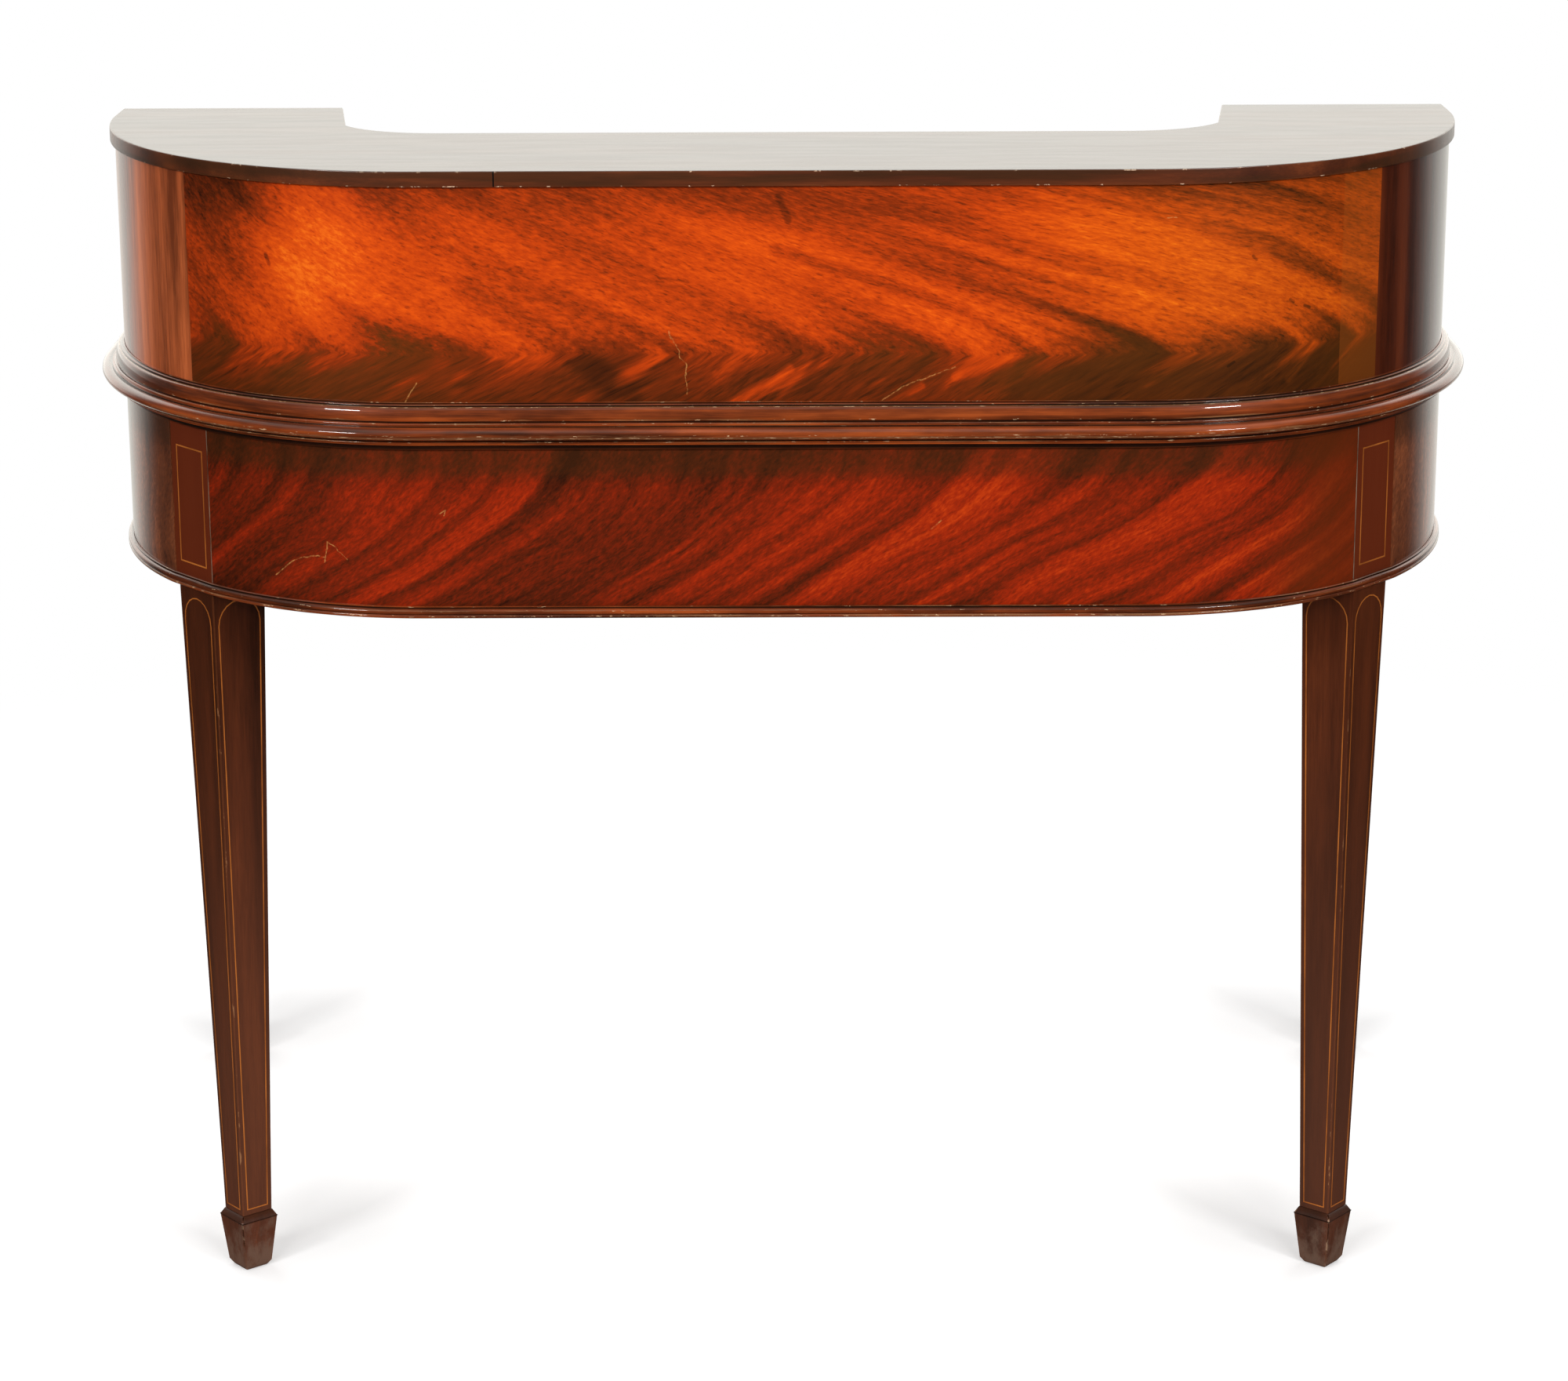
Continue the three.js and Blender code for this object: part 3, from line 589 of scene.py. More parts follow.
# Random tone, with the painted sheen and the darker patches added to the upper wall.
tone_and_painted_sheen = between(clouds(spot, (3.4, 5.0, 1), 8.2, 1.0), 0.46, 0.70, -0.07, 0.05)
for middle, half, share in gallery_sheen_and_dark_patches:
    glow = between(distance_to(p, middle), 0.0, half, share, 0.0)
    tone_and_painted_sheen = added(tone_and_painted_sheen, times(glow, between(v, 0.05, 0.13)))
head_shade = between(added(v, swing(sway, 0.025)), 0.148, 0.182, 0.0, -0.17)
light = added(rise, tone_and_painted_sheen, head_shade, kindled, times(streaks, folds), times(grain, crisp))
for points, half, change in gallery_strokes:
    light = added(light, scaled(scratch(spot, points, half), change))

flame_colour = ramp(light, flame_stops)
flame_colour = blend_colours(between(p, 0.12, 0.36), flame_colour, ripe_tint, "MULTIPLY")
olive = times(
    between(lit, -0.02, 0.02, 1.0, 0.0), between(light, 0.32, 0.50, 1.0, 0.0),
    between(sway, 0.35, 0.65, 0.15, 0.80),
)
flame_colour = blend_colours(olive, flame_colour, olive_tone)
flame_colour = marked(flame_colour, spot, gallery_scratches, 3.0)

ribbon = clouds(spot, (60, 2.2, 1), 5.0)
side_grain = clouds(spot, (420, 30, 1), 6.0, 3.0, 0.65)
bands = clouds(spot, (16, 1.2, 1), 9.0, 2.0)
side_light = added(swing(ribbon, 0.45), scaled(bands, 2.4, -0.74), swing(side_grain, 0.25))
side_colour = ramp(side_light, side_stops)
side_colour = blend_colours(over(p, 0.0), side_colour, right_tint, "MULTIPLY")
on_right = over(p, right_joint)
on_sides = calc("MAXIMUM", under(p, -left_joint), on_right)
on_strip = times(on_right, under(p, right_joint + strip_width))
colour = blend_colours(on_sides, flame_colour, side_colour)
strip_colour = blend_colours(strip_share, flame_colour, strip_tone)
colour = blend_colours(on_strip, colour, strip_colour)
inside = over(v, wall_height + wall_thickness / 2)
colour = blend_colours(inside, colour, ramp(ribbon, pine_stops))
polish(colour, pores, roughness=veneer_roughness)
bm = run_section(wall_line, wall_section)
fit("gallery_veneered_wall", bm, gallery_veneer, node="gallery_wall")

# GALLERY TOP. One U-shaped board of solid mahogany with squared edges, hollowed towards the
# sitter at each corner and splayed at the wings. Its arrises are chipped pale.
top_low, top_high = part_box("gallery_top")
top_overhang = top_high.x - half_width
hollow_middle = Vector((half_width - corner_x, 0.029))
door_radius = 0.092
door_sweep = math.radians(65)
hollow_steps = 20
wing_inner = 0.378
arris_width = 0.0009
rim_width = 0.0011
top_skin = 0.0003
edge_skin = 0.0004
split_at = 0.2217
split_width = 0.0006
faded_tint = (0.35, 0.50, 0.60)
dirty_tone = (0.030, 0.0130, 0.0035)
crack_tone = (0.004, 0.002, 0.001)
rubbed_tone = (0.16, 0.045, 0.012)
bare_tone = (0.30, 0.16, 0.075)


def ease(bm, edges, width=arris_width, segments=2):
    """Rounds edges over and marks the new faces as arris."""
    mark = bm.faces.layers.float["arris"]
    made = bmesh.ops.bevel(
        bm, geom=list(edges), offset=width, segments=segments, profile=0.5, affect="EDGES", material=-1,
    )
    for face in made["faces"]:
        face[mark] = 1.0


def draw_out(bm, faces, move):
    """Extrudes faces in one, and moves what has grown."""
    grown = bmesh.ops.extrude_face_region(bm, geom=faces)["geom"]
    raised = [item for item in grown if isinstance(item, bmesh.types.BMVert)]
    bmesh.ops.translate(bm, verts=raised, vec=move)


def sawn(bm, outline, bottom, top):
    """A board sawn to a plan outline, from one height up to another."""
    face = bm.faces.new([bm.verts.new((*point, bottom)) for point in outline])
    draw_out(bm, [face], (0, 0, top - bottom))
    bmesh.ops.recalc_face_normals(bm, faces=bm.faces)


def hollow_line(radius, inner, front):
    """The right half of the well's edge, from the bank out to the wing's front."""
    angles = [door_sweep * i / hollow_steps for i in range(hollow_steps + 1)]
    arc = [hollow_middle + radius * Vector((math.sin(a), math.cos(a))) for a in angles]
    return arc + [Vector((inner, front))]


def worn(colour, threshold, pale=bare_tone, scale=(90, 90, 90)):
    """Pale chips and rubs where the faces are marked as arris."""
    tree = colour.id_data
    arris = wire("Attribute", {}, tree, attribute_name="arris").outputs["Fac"]
    rubs = clouds(object_place(tree), scale, 6.6, 4.0, 0.7)
    chips = between(rubs, threshold, threshold + 0.05)
    colour = blend_colours(times(arris, scaled(rubs, 0.5)), colour, rubbed_tone)
    return blend_colours(times(arris, chips), colour, pale)


solid_stops = [
    (0.20, (0.040, 0.0085, 0.0022)),
    (0.45, (0.110, 0.0200, 0.0040)),
    (0.65, (0.190, 0.0340, 0.0062)),
    (0.90, (0.320, 0.0600, 0.0100)),
]
dark_stops = [
    (0.20, (0.022, 0.0055, 0.0020)),
    (0.50, (0.055, 0.0125, 0.0038)),
    (0.75, (0.092, 0.0200, 0.0055)),
    (1.00, (0.150, 0.0330, 0.0080)),
]
grain_scales = {"X": (2.2, 34, 34), "Y": (34, 2.2, 34), "Z": (34, 34, 2.2)}
pore_scales = {"X": (45, 900, 900), "Y": (900, 45, 900), "Z": (900, 900, 45)}


def solid_wood(tree, along, stops, seed=0.0, lift=0.0):
    """The colour and pores of straight-grained wood, by the axis that the grain runs on."""
    place = object_place(tree)
    streaks = clouds(place, grain_scales[along], seed, 4.0, 0.6)
    pores = clouds(place, pore_scales[along], seed + 2.2, 2.0, 0.6)
    light = added(scaled(streaks, 1.5, -0.25 + lift), swing(pores, 0.2))
    return ramp(light, stops), pores


top_finish, tree = new_finish("gallery_top_mahogany")
colour, pores = solid_wood(tree, "X", dark_stops, 1.0, lift=0.28)
colour = worn(colour, 0.60, pale=(0.62, 0.40, 0.26))
x, y, z = split(object_place(tree))
on_top = over(z, top_high.z - top_skin)
colour = blend_colours(on_top, colour, faded_tint, "MULTIPLY")
dirt = between(clouds(joined(x, 0.0, z), (5.0, 1, 60), 4.0, 2.0), 0.44, 0.60, 0.0, 0.60)
colour = blend_colours(times(dirt, under(z, top_high.z - top_skin)), colour, dirty_tone)
on_edge = over(y, half_depth + top_overhang - edge_skin)
cracked = times(under(distance_to(x, split_at), split_width), on_edge)
colour = blend_colours(cracked, colour, crack_tone)
wear = clouds(object_place(tree), (9, 70, 1), 17.0, 4.0, 0.6)
dulled = between(wear, 0.36, 0.64, 1.0, 0.94)
polish(colour, pores, bump_depth=0.00003, roughness=0.5, coat_roughness=0.26, coat=dulled)
inner = hollow_line(door_radius - top_overhang, wing_inner, top_low.y)
outer = stand_off([Vector((half_width, top_low.y))] + corner_line(0, math.pi / 2), top_overhang)
bm = bench()
sawn(bm, inner + outer + mirrored(inner + outer), top_low.z, top_high.z)
rims = [e for e in bm.edges if abs(e.verts[0].co.z - e.verts[1].co.z) < 1e-6]
ease(bm, rims, rim_width)
fit("gallery_top_board", bm, top_finish, node="gallery_top")

# MOULDINGS. Solid mahogany, run to a section and bent or mitred round the carcase: the
# ovolo at the gallery's foot, the heavy torus round the board and the reeds under the frieze.
board_low, board_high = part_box("writing_board")
frieze_low, frieze_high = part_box("back_apron")
ovolo_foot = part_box("gallery_foot_moulding")[0].z
letter_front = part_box("letter_box_right")[0].y
front_right = Vector((half_width, -half_depth))
mm = 0.001
rub_tone = (0.21, 0.085, 0.033)
chip_tone = (0.56, 0.36, 0.20)
quirk_dirt_and_shade_tone = (0.010, 0.0035, 0.0016)


def quadrant(start, end, out_first, steps=6):
    """Points of a quarter round from start to end, leaving start flat or upright."""
    points = []
    for i in range(1, steps + 1):
        a = math.pi / 2 * i / steps
        x, y = (math.sin(a), 1 - math.cos(a)) if out_first else (1 - math.cos(a), math.sin(a))
        points.append((start[0] + (end[0] - start[0]) * x, start[1] + (end[1] - start[1]) * y))
    return points


def in_metres(section, foot):
    return [(out * mm, foot + up * mm) for out, up in section]


def moulding(name, wood, node, line, section, rubs, dirt, seed, lift=0.0, closed=True):
    """A moulding in dark polished wood with its grain along the run. Rubs are (point of the
    section, half width, how much of the run is rubbed pale), and dirt with painted shade lies
    midway between two points, in quirks of a half width."""
    around = girth(section)
    finish, tree = new_finish(wood)
    u, v, _ = split(run_place(tree))
    spot = joined(u, v)
    streaks = clouds(spot, (3.0, 130, 1), seed, 4.0, 0.6)
    blotches = clouds(spot, (14, 60, 1), seed + 4, 3.0, 0.6)
    pores = clouds(spot, (60, 1500, 1), seed + 2.2, 2.0, 0.6)
    light = added(scaled(streaks, 1.9, -0.47 + lift), swing(blotches, 0.50), swing(pores, 0.15))
    colour = ramp(light, solid_stops)
    wear = clouds(spot, (9, 220, 1), seed + 9, 5.0, 0.75)
    nicks = clouds(spot, (110, 500, 1), seed + 12, 3.0, 0.7)
    for point, half, share in rubs:
        at_point = between(distance_to(v, around[point]), half * 0.4, half, 1.0, 0.0)
        rubbed = between(wear, 0.60 - 0.25 * share, 0.70 - 0.25 * share)
        colour = blend_colours(times(at_point, rubbed), colour, rub_tone)
        chipped = between(nicks, 0.66 - 0.10 * share, 0.70 - 0.10 * share)
        colour = blend_colours(times(at_point, chipped), colour, chip_tone)
    # Painted shade and dirt darken the quirks to near black.
    for first, last, half in dirt:
        off = distance_to(v, (around[first] + around[last]) / 2)
        colour = blend_colours(between(off, half * 0.6, half, 0.92, 0.0), colour, quirk_dirt_and_shade_tone)
    polish(colour, pores, bump_depth=0.00003, coat_roughness=0.05)
    fit(name, run_section(line, section, closed), finish, node=node)


ovolo_section = in_metres([
    (0.3, 0), (9.0, 0), (9.0, 0.8), *quadrant((9.0, 0.8), (8.0, 1.8), False, 4),
    (7.0, 2.0), (7.0, 3.2), (7.8, 3.4), (7.8, 4.0), *quadrant((7.8, 4.0), (4.9, 13.6), False, 8),
    (4.5, 13.9), (3.4, 14.0), (3.4, 15.0), *quadrant((3.4, 15.0), (2.6, 15.9), False, 3),
    (1.6, 16.1), (1.6, 17.4), (0.3, 17.4),
], ovolo_foot)
ovolo_rubs = [
    (4, 0.0010, 0.35), (10, 0.0008, 0.3), (19, 0.0009, 1.0), (21, 0.0007, 0.5), (26, 0.0006, 0.5),
]
ovolo_quirk_dirt_and_shade = [(7, 8, 0.0013), (20, 21, 0.0009), (25, 25, 0.0009)]
foot_half = [Vector((wing_inner + top_overhang, letter_front)), Vector((half_width, letter_front))]
foot_half += corner_line(0, math.pi / 2)
foot_line = foot_half + mirrored(foot_half)
moulding(
    "gallery_foot_ovolo", "ovolo_mahogany", "gallery_foot_moulding",
    foot_line, ovolo_section, ovolo_rubs, ovolo_quirk_dirt_and_shade, 3.0, lift=0.05, closed=False,
)

torus_section = in_metres([
    (0.3, 0), (3.5, 0), (3.5, 0.9), *quadrant((3.5, 0.9), (9.4, 4.6), False, 6), (9.4, 5.6),
    *quadrant((9.4, 5.6), (10.3, 6.5), True, 3), *quadrant((10.3, 6.5), (9.6, 7.4), False, 3),
    (9.2, 8.6), (11.0, 8.9), *quadrant((11.0, 8.9), (19.5, 14.4), True, 8),
    *quadrant((19.5, 14.4), (12.6, 19.5), False, 8), (11.9, 19.1), (11.0, 19.1), (11.0, 20),
    (0.3, 20),
], board_low.z)
torus_rubs = [
    (13, 0.0008, 0.5), (22, 0.0014, 1.0), (24, 0.0012, 0.35), (33, 0.0008, 0.5), (36, 0.0006, 0.5),
]
torus_quirk_dirt_and_shade = [(15, 16, 0.0012), (35, 35, 0.0012), (2, 5, 0.0030)]
board_half = [front_right] + corner_line(0, math.pi / 2)
board_line = board_half + mirrored(board_half)
moulding(
    "board_edge_torus", "torus_mahogany", "board_edge_moulding",
    board_line, torus_section, torus_rubs, torus_quirk_dirt_and_shade, 5.0, lift=0.10,
)

stile_width = 0.057
stile_middle = math.radians(44.7)
stile_reach = math.hypot(corner_x * math.sin(stile_middle), corner_y * math.cos(stile_middle))
stile_half = math.asin(stile_width / 2 / stile_reach)
side_arc = corner_line(0, stile_middle - stile_half)
back_arc = corner_line(stile_middle + stile_half, math.pi / 2)
reed_section = in_metres([
    (0.3, 0), (3.0, 0), *quadrant((3.0, 0), (4.5, 1.5), True, 4),
    *quadrant((4.5, 1.5), (3.1, 3.0), False, 4), *quadrant((3.1, 3.0), (4.3, 4.8), True, 4),
    *quadrant((4.3, 4.8), (2.7, 7.0), False, 5), (2.3, 7.3), (2.3, 9.0), (1.8, 9.4), (0.3, 9.4),
], frieze_low.z)
reed_rubs = [(6, 0.0010, 0.6), (15, 0.0008, 0.3), (20, 0.0006, 0.4)]
reed_quirk_dirt_and_shade = [(10, 10, 0.0007), (19, 20, 0.0008)]
reed_half = [front_right] + side_arc + back_arc
reed_line = reed_half + mirrored(reed_half)
moulding(
    "frieze_reeding", "reeding_mahogany", "lower_bead",
    reed_line, reed_section, reed_rubs, reed_quirk_dirt_and_shade, 7.0,
)

# FRIEZE. The apron at the back and the two round the sides are pine, faced with flame
# mahogany whose dark and red streaks lean across the back.
apron_thickness = 0.022
head_depth = 0.052
frieze_height = frieze_high.z - frieze_low.z
apron_section = [
    (0, frieze_low.z), (0, frieze_high.z),
    (-apron_thickness, frieze_high.z), (-apron_thickness, frieze_low.z),
]
frieze_stops = [
    (0.00, (0.020, 0.0035, 0.0009)),
    (0.25, (0.070, 0.0090, 0.0012)),
    (0.50, (0.165, 0.0120, 0.0011)),
    (0.72, (0.300, 0.0170, 0.0011)),
    (1.00, (0.500, 0.0420, 0.0025)),
]
side_frieze_stops = [
    (0.00, (0.060, 0.0140, 0.0045)),
    (0.35, (0.150, 0.0380, 0.0120)),
    (0.60, (0.300, 0.0800, 0.0260)),
    (1.00, (0.560, 0.1700, 0.0600)),
]
head_shade_tone = (0.058, 0.017, 0.0030)
shaded_tone = (0.110, 0.0180, 0.0022)
frieze_scratches = [
    [(-0.411, 0.028), (-0.393, 0.042), (-0.373, 0.047), (-0.365, 0.046)],
    [(-0.366, 0.042), (-0.362, 0.060), (-0.356, 0.055), (-0.347, 0.045)],
    [(0.118, 0.071), (0.126, 0.078)],
    [(-0.271, 0.084), (-0.266, 0.087), (-0.268, 0.082)],
]


def apron_finish(name, line, leaning):
    """Veneer for an apron, its streaks leaning as on the back or upright as on the sides."""
    finish, tree = new_finish(name)
    u, v, _ = split(run_place(tree))
    p = calc("SUBTRACT", u, length_of(line) / 2)
    spot = joined(p, v)
    sway = clouds(spot, (5, 9, 1), 2.7, 1.5)
    across = added(p, swing(sway, 0.035))
    if leaning:
        lean = times(between(p, -0.1, 0.5, -1.60, -2.0), v)
        bend = calc("MAXIMUM", scaled(v, 1.0, -0.045), 0.0)
        across = added(across, lean, times(bend, scaled(bend, 7.0)))
    streaks, grain, pores = flame(scaled(across, 1.3), v, 7.3, 0.20, 0.24, 0.24, 2.4)
    threads = clouds(joined(across, v), (46, 3.5, 1), 15.2, 2.0, 0.5)
    streaks = added(streaks, between(threads, 0.34, 0.64, -0.10, 0.10))
    curl_place = joined(added(p, v), calc("SUBTRACT", p, v))
    curl = clouds(curl_place, (120, 300, 1), 3.9, 3.0, 0.6)
    head_shade = between(v, frieze_height - 0.040, frieze_height - 0.010, 0.0, -0.22)
    foot_shade = between(v, 0.0, 0.030, -0.10, 0.0)
    base = between(p, -0.16, 0.24, 0.42, 0.63) if leaning else 0.42
    end_shade = between(p, -0.46, -0.30, -0.13, 0.0) if leaning else 0.0
    curled = swing(curl, 0.30)
    light = added(base, streaks, grain, curled, head_shade, foot_shade, end_shade)
    colour = ramp(light, frieze_stops if leaning else side_frieze_stops)
    # Painted shade under the board's moulding: where the apron's top is darkened, it is also browned.
    head_shade_tinted = between(scaled(head_shade, -1.0), 0.05, 0.22, 0.0, 0.45)
    colour = blend_colours(head_shade_tinted, colour, head_shade_tone)
    if leaning:
        shaded = between(added(p, scaled(sway, 0.10)), 0.41, 0.50, 0.0, 0.75)
        colour = blend_colours(shaded, colour, shaded_tone)
        colour = marked(colour, spot, frieze_scratches, 5.0)
    inside = over(v, frieze_height + apron_thickness / 2)
    colour = blend_colours(inside, colour, ramp(sway, pine_stops))
    polish(colour, pores, roughness=veneer_roughness)
    return finish


back_line = back_arc + mirrored(back_arc)
side_line = [Vector((half_width, head_depth - half_depth))] + side_arc
back_veneer = apron_finish("frieze_back_veneer", back_line, True)
bm = run_section(back_line, apron_section)
fit("frieze_back", bm, back_veneer, node="back_apron")
side_veneer = apron_finish("frieze_side_veneer", side_line, False)
for side, line in (("right", side_line), ("left", mirrored(side_line))):
    bm = run_section(line, apron_section)
    fit(f"frieze_side_{side}", bm, side_veneer, node=f"side_apron_{side}")

# LEGS. Four square tapered legs of solid mahogany, whose heads are the stiles of the frieze,
# on spade feet. The rear pair is turned to the bow corners. Boxwood lines are let into the
# outer faces and the stiles, and a seam of old glue shows beside each stile.
head_bottom = frieze_low.z
head_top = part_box("leg_rear_right")[1].z
shaft_width = 0.050
ankle_width = 0.029
foot_low, foot_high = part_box("spade_foot_front_right")
collar_width = foot_high.x - foot_low.x
foot_gap = 0.0003
ankle_height = foot_high.z + foot_gap
stile_turn = math.atan2(corner_y * math.cos(stile_middle), corner_x * math.sin(stile_middle))
stile_face = (side_arc[-1] + back_arc[0]) / 2
string_width = 0.0010
string_inset = 0.0042
string_proud = 0.00012
string_sunk = 0.0002
leg_arris = 0.0012
spade_arris = 0.0011
spade_rings = [
    (0.0212, 0.0), (0.0268, 0.0042), (collar_width, ankle_height - 0.0065),
    (collar_width, ankle_height - 0.0056), (ankle_width + 0.0012, foot_high.z - 0.0006),
    (ankle_width - 0.0006, foot_high.z),
]
stile_line = {"half": 0.0198, "low": 0.6245, "high": 0.7222, "width": 0.0012}
stile_tone = (0.135, 0.0200, 0.0048)
faded_tone = (0.100, 0.040, 0.0230)
dust_tone = (0.150, 0.088, 0.060)
shoulder_tone = (0.020, 0.0070, 0.0040)
seam = {"inset": 0.0008, "half": 0.0003, "above": 0.0095, "below": 0.0005, "width": 0.00028}


def tower(bm, rings):
    """A square post: a square face drawn up from ring to ring, each (width, depth, height)."""
    width, depth, height = rings[0]
    signs = [(-1, -1), (1, -1), (1, 1), (-1, 1)]
    face = bm.faces.new([bm.verts.new((x * width / 2, y * depth / 2, height)) for x, y in signs])
    for width, depth, height in rings[1:]:
        grown = bmesh.ops.extrude_face_region(bm, geom=[face])["geom"]
        face = next(item for item in grown if isinstance(item, bmesh.types.BMFace))
        for vert in face.verts:
            vert.co = (math.copysign(width / 2, vert.co.x), math.copysign(depth / 2, vert.co.y), height)
    bmesh.ops.recalc_face_normals(bm, faces=bm.faces)


def upright(bm, rise):
    """The edges that climb by more than a rise."""
    return [e for e in bm.edges if abs(e.verts[0].co.z - e.verts[1].co.z) > rise]


def let_in(bm, outline, place, width=string_width, proud=string_proud):
    """A line let in round an outline, or a plate that fills it if the line has no width. The
    outline is drawn on the plane of a placing matrix."""
    face = bm.faces.new([bm.verts.new(place @ Vector((x, y, -string_sunk))) for x, y in outline])
    face.normal_update()
    faces = [face]
    if width:
        faces = bmesh.ops.inset_region(
            bm, faces=[face], thickness=width, use_even_offset=True, use_boundary=True,
        )["faces"]
        bmesh.ops.delete(bm, geom=[face], context="FACES_ONLY")
    up = (place.to_3x3() @ Vector((0, 0, 1))).normalized()
    draw_out(bm, faces, up * (proud + string_sunk))


def arched(low, high, bottom, top, steps=10):
    """An upright outline with a round head: low and high are its half widths at the bottom
    and at the spring of the head."""
    angles = [math.pi * i / steps for i in range(steps + 1)]
    head = [(high * math.cos(a), top - high + high * math.sin(a)) for a in angles]
    return [(-low, bottom), (low, bottom)] + head


def fit_small(name, bm, finish, body="carcase", node=None):
    """Fits a bmesh of small shells, once their faces all look outward."""
    bmesh.ops.recalc_face_normals(bm, faces=bm.faces)
    fit(name, bm, finish, body, node)


def oblong(left, right, bottom, top):
    return [(left, bottom), (right, bottom), (right, top), (left, top)]


def facing(angle, out, up, tilt=0.0):
    """Places an outline on an upright face: turned about Z from +Y, out along it and up."""
    turned = Matrix.Rotation(angle, 4, "Z") @ Matrix.Translation((0, out, up))
    return turned @ Matrix.Rotation(math.pi, 4, "Z") @ Matrix.Rotation(math.pi / 2 + tilt, 4, "X")


def before(low, high, up=0.0):
    """Places an outline on the front of a box, midway along it."""
    return Matrix.Translation(((low.x + high.x) / 2, 0, 0)) @ facing(math.pi, -low.y, up)


leg_finish, tree = new_finish("leg_mahogany")
colour, pores = solid_wood(tree, "Z", dark_stops, 4.0, lift=0.08)
_, _, z = split(object_place(tree))
head = between(z, head_bottom - 0.002, head_bottom, 0.0, 0.8)
colour = blend_colours(head, colour, stile_tone)
colour = blend_colours(between(z, 0.10, head_bottom, 0.45, 0.0), colour, faded_tone)
colour = worn(colour, 0.57, pale=(0.24, 0.105, 0.045), scale=(150, 150, 34))
polish(colour, pores, bump_depth=0.00004, coat_roughness=0.09)

foot_finish, tree = new_finish("foot_mahogany")
colour, pores = solid_wood(tree, "Z", dark_stops, 9.0, lift=0.1)
scuffs = clouds(object_place(tree), (70, 70, 45), 2.0, 5.0, 0.7)
_, _, z = split(object_place(tree))
low_down = between(z, 0.0, 0.050, 0.30, 0.0)
dusty = between(added(scuffs, low_down), 0.50, 0.85, 0.10, 0.70)
colour = blend_colours(dusty, colour, dust_tone)
shoulder = between(z, ankle_height - 0.0075, ankle_height - 0.0055, 0.0, 0.6)
colour = blend_colours(shoulder, colour, shoulder_tone)
colour = worn(colour, 0.54, pale=(0.30, 0.17, 0.10))
polish(colour, scuffs, bump_depth=0.0002, roughness=0.5, coat_roughness=0.22, coat=0.7)

boxwood, tree = new_finish("boxwood_line")
aged = clouds(object_place(tree), (40, 40, 25), 1.0, 3.0)
colour = ramp(aged, [(0.30, (0.250, 0.068, 0.011)), (0.70, (0.480, 0.145, 0.025))])
polish(colour, aged, coat_roughness=0.09)

glue, tree = new_finish("glue_line")
grime = clouds(object_place(tree), (60, 60, 30), 7.0, 3.0)
colour = ramp(grime, [(0.35, (0.060, 0.030, 0.018)), (0.60, (0.300, 0.220, 0.160))])
polish(colour, grime, coat=0.3)

taper = (shaft_width - ankle_width) / 2 / (head_bottom - ankle_height)
line_bottom = 0.0045
line_top = head_bottom - ankle_height - 0.009
line_spring = line_top - 0.020
half_low = ankle_width / 2 + line_bottom * taper - string_inset
half_high = ankle_width / 2 + line_spring * taper - string_inset
leg_middles = {
    "rear": stile_face - Vector((math.sin(stile_turn), math.cos(stile_turn))) * head_depth / 2,
    "front": front_right + Vector((-head_depth / 2, head_depth / 2)),
}
for end, middle in leg_middles.items():
    rear = end == "rear"
    head_width = stile_width if rear else head_depth
    for side, sign in sides:
        turn = Matrix.Rotation(-sign * stile_turn if rear else 0.0, 4, "Z")
        stand = Matrix.Translation((sign * middle.x, middle.y, 0)) @ turn
        bm = bench()
        tower(bm, [
            (ankle_width, ankle_width, ankle_height), (shaft_width, shaft_width, head_bottom),
            (head_width, head_depth, head_bottom), (head_width, head_depth, head_top),
        ])
        ease(bm, upright(bm, 0.01), leg_arris, 3)
        bm.transform(stand)
        fit(f"tapered_leg_{end}_{side}", bm, leg_finish, node=f"leg_{end}_{side}")

        bm = bench()
        tower(bm, [(width, width, height) for width, height in spade_rings])
        ease(bm, upright(bm, 0.003), spade_arris, 3)
        bm.transform(stand)
        fit(f"spade_{end}_{side}", bm, foot_finish, node=f"spade_foot_{end}_{side}")

        bm = bench()
        for angle in (0.0 if rear else math.pi, math.pi / 2, -math.pi / 2):
            on_face = facing(angle, ankle_width / 2, ankle_height, math.atan(taper))
            let_in(bm, arched(half_low, half_high, line_bottom, line_top), stand @ on_face)
        if rear:
            on_stile = stand @ facing(0.0, head_depth / 2, 0.0)
            half = stile_line["half"]
            outline = oblong(-half, half, stile_line["low"], stile_line["high"])
            let_in(bm, outline, on_stile, width=stile_line["width"])
        fit_small(f"leg_stringing_{end}_{side}", bm, boxwood)
        if rear:
            bm = bench()
            at, half = sign * (stile_width / 2 - seam["inset"]), seam["half"]
            low, high = frieze_low.z + seam["above"], frieze_high.z - seam["below"]
            let_in(bm, oblong(at - half, at + half, low, high), on_stile, width=seam["width"])
            fit_small(f"stile_joint_{side}", bm, glue)

# FRONT FRAME. A rail below the drawers and two dividers between them, of solid mahogany, and
# the oak bearers that the drawers run on, tenoned between the rail and the back.
oak_dirt = (0.110, 0.060, 0.026)
weld = 0.00002
flat_angle = math.radians(0.4)
oak_stops = [
    (0.15, (0.160, 0.078, 0.028)),
    (0.50, (0.300, 0.165, 0.066)),
    (0.85, (0.430, 0.260, 0.118)),
]


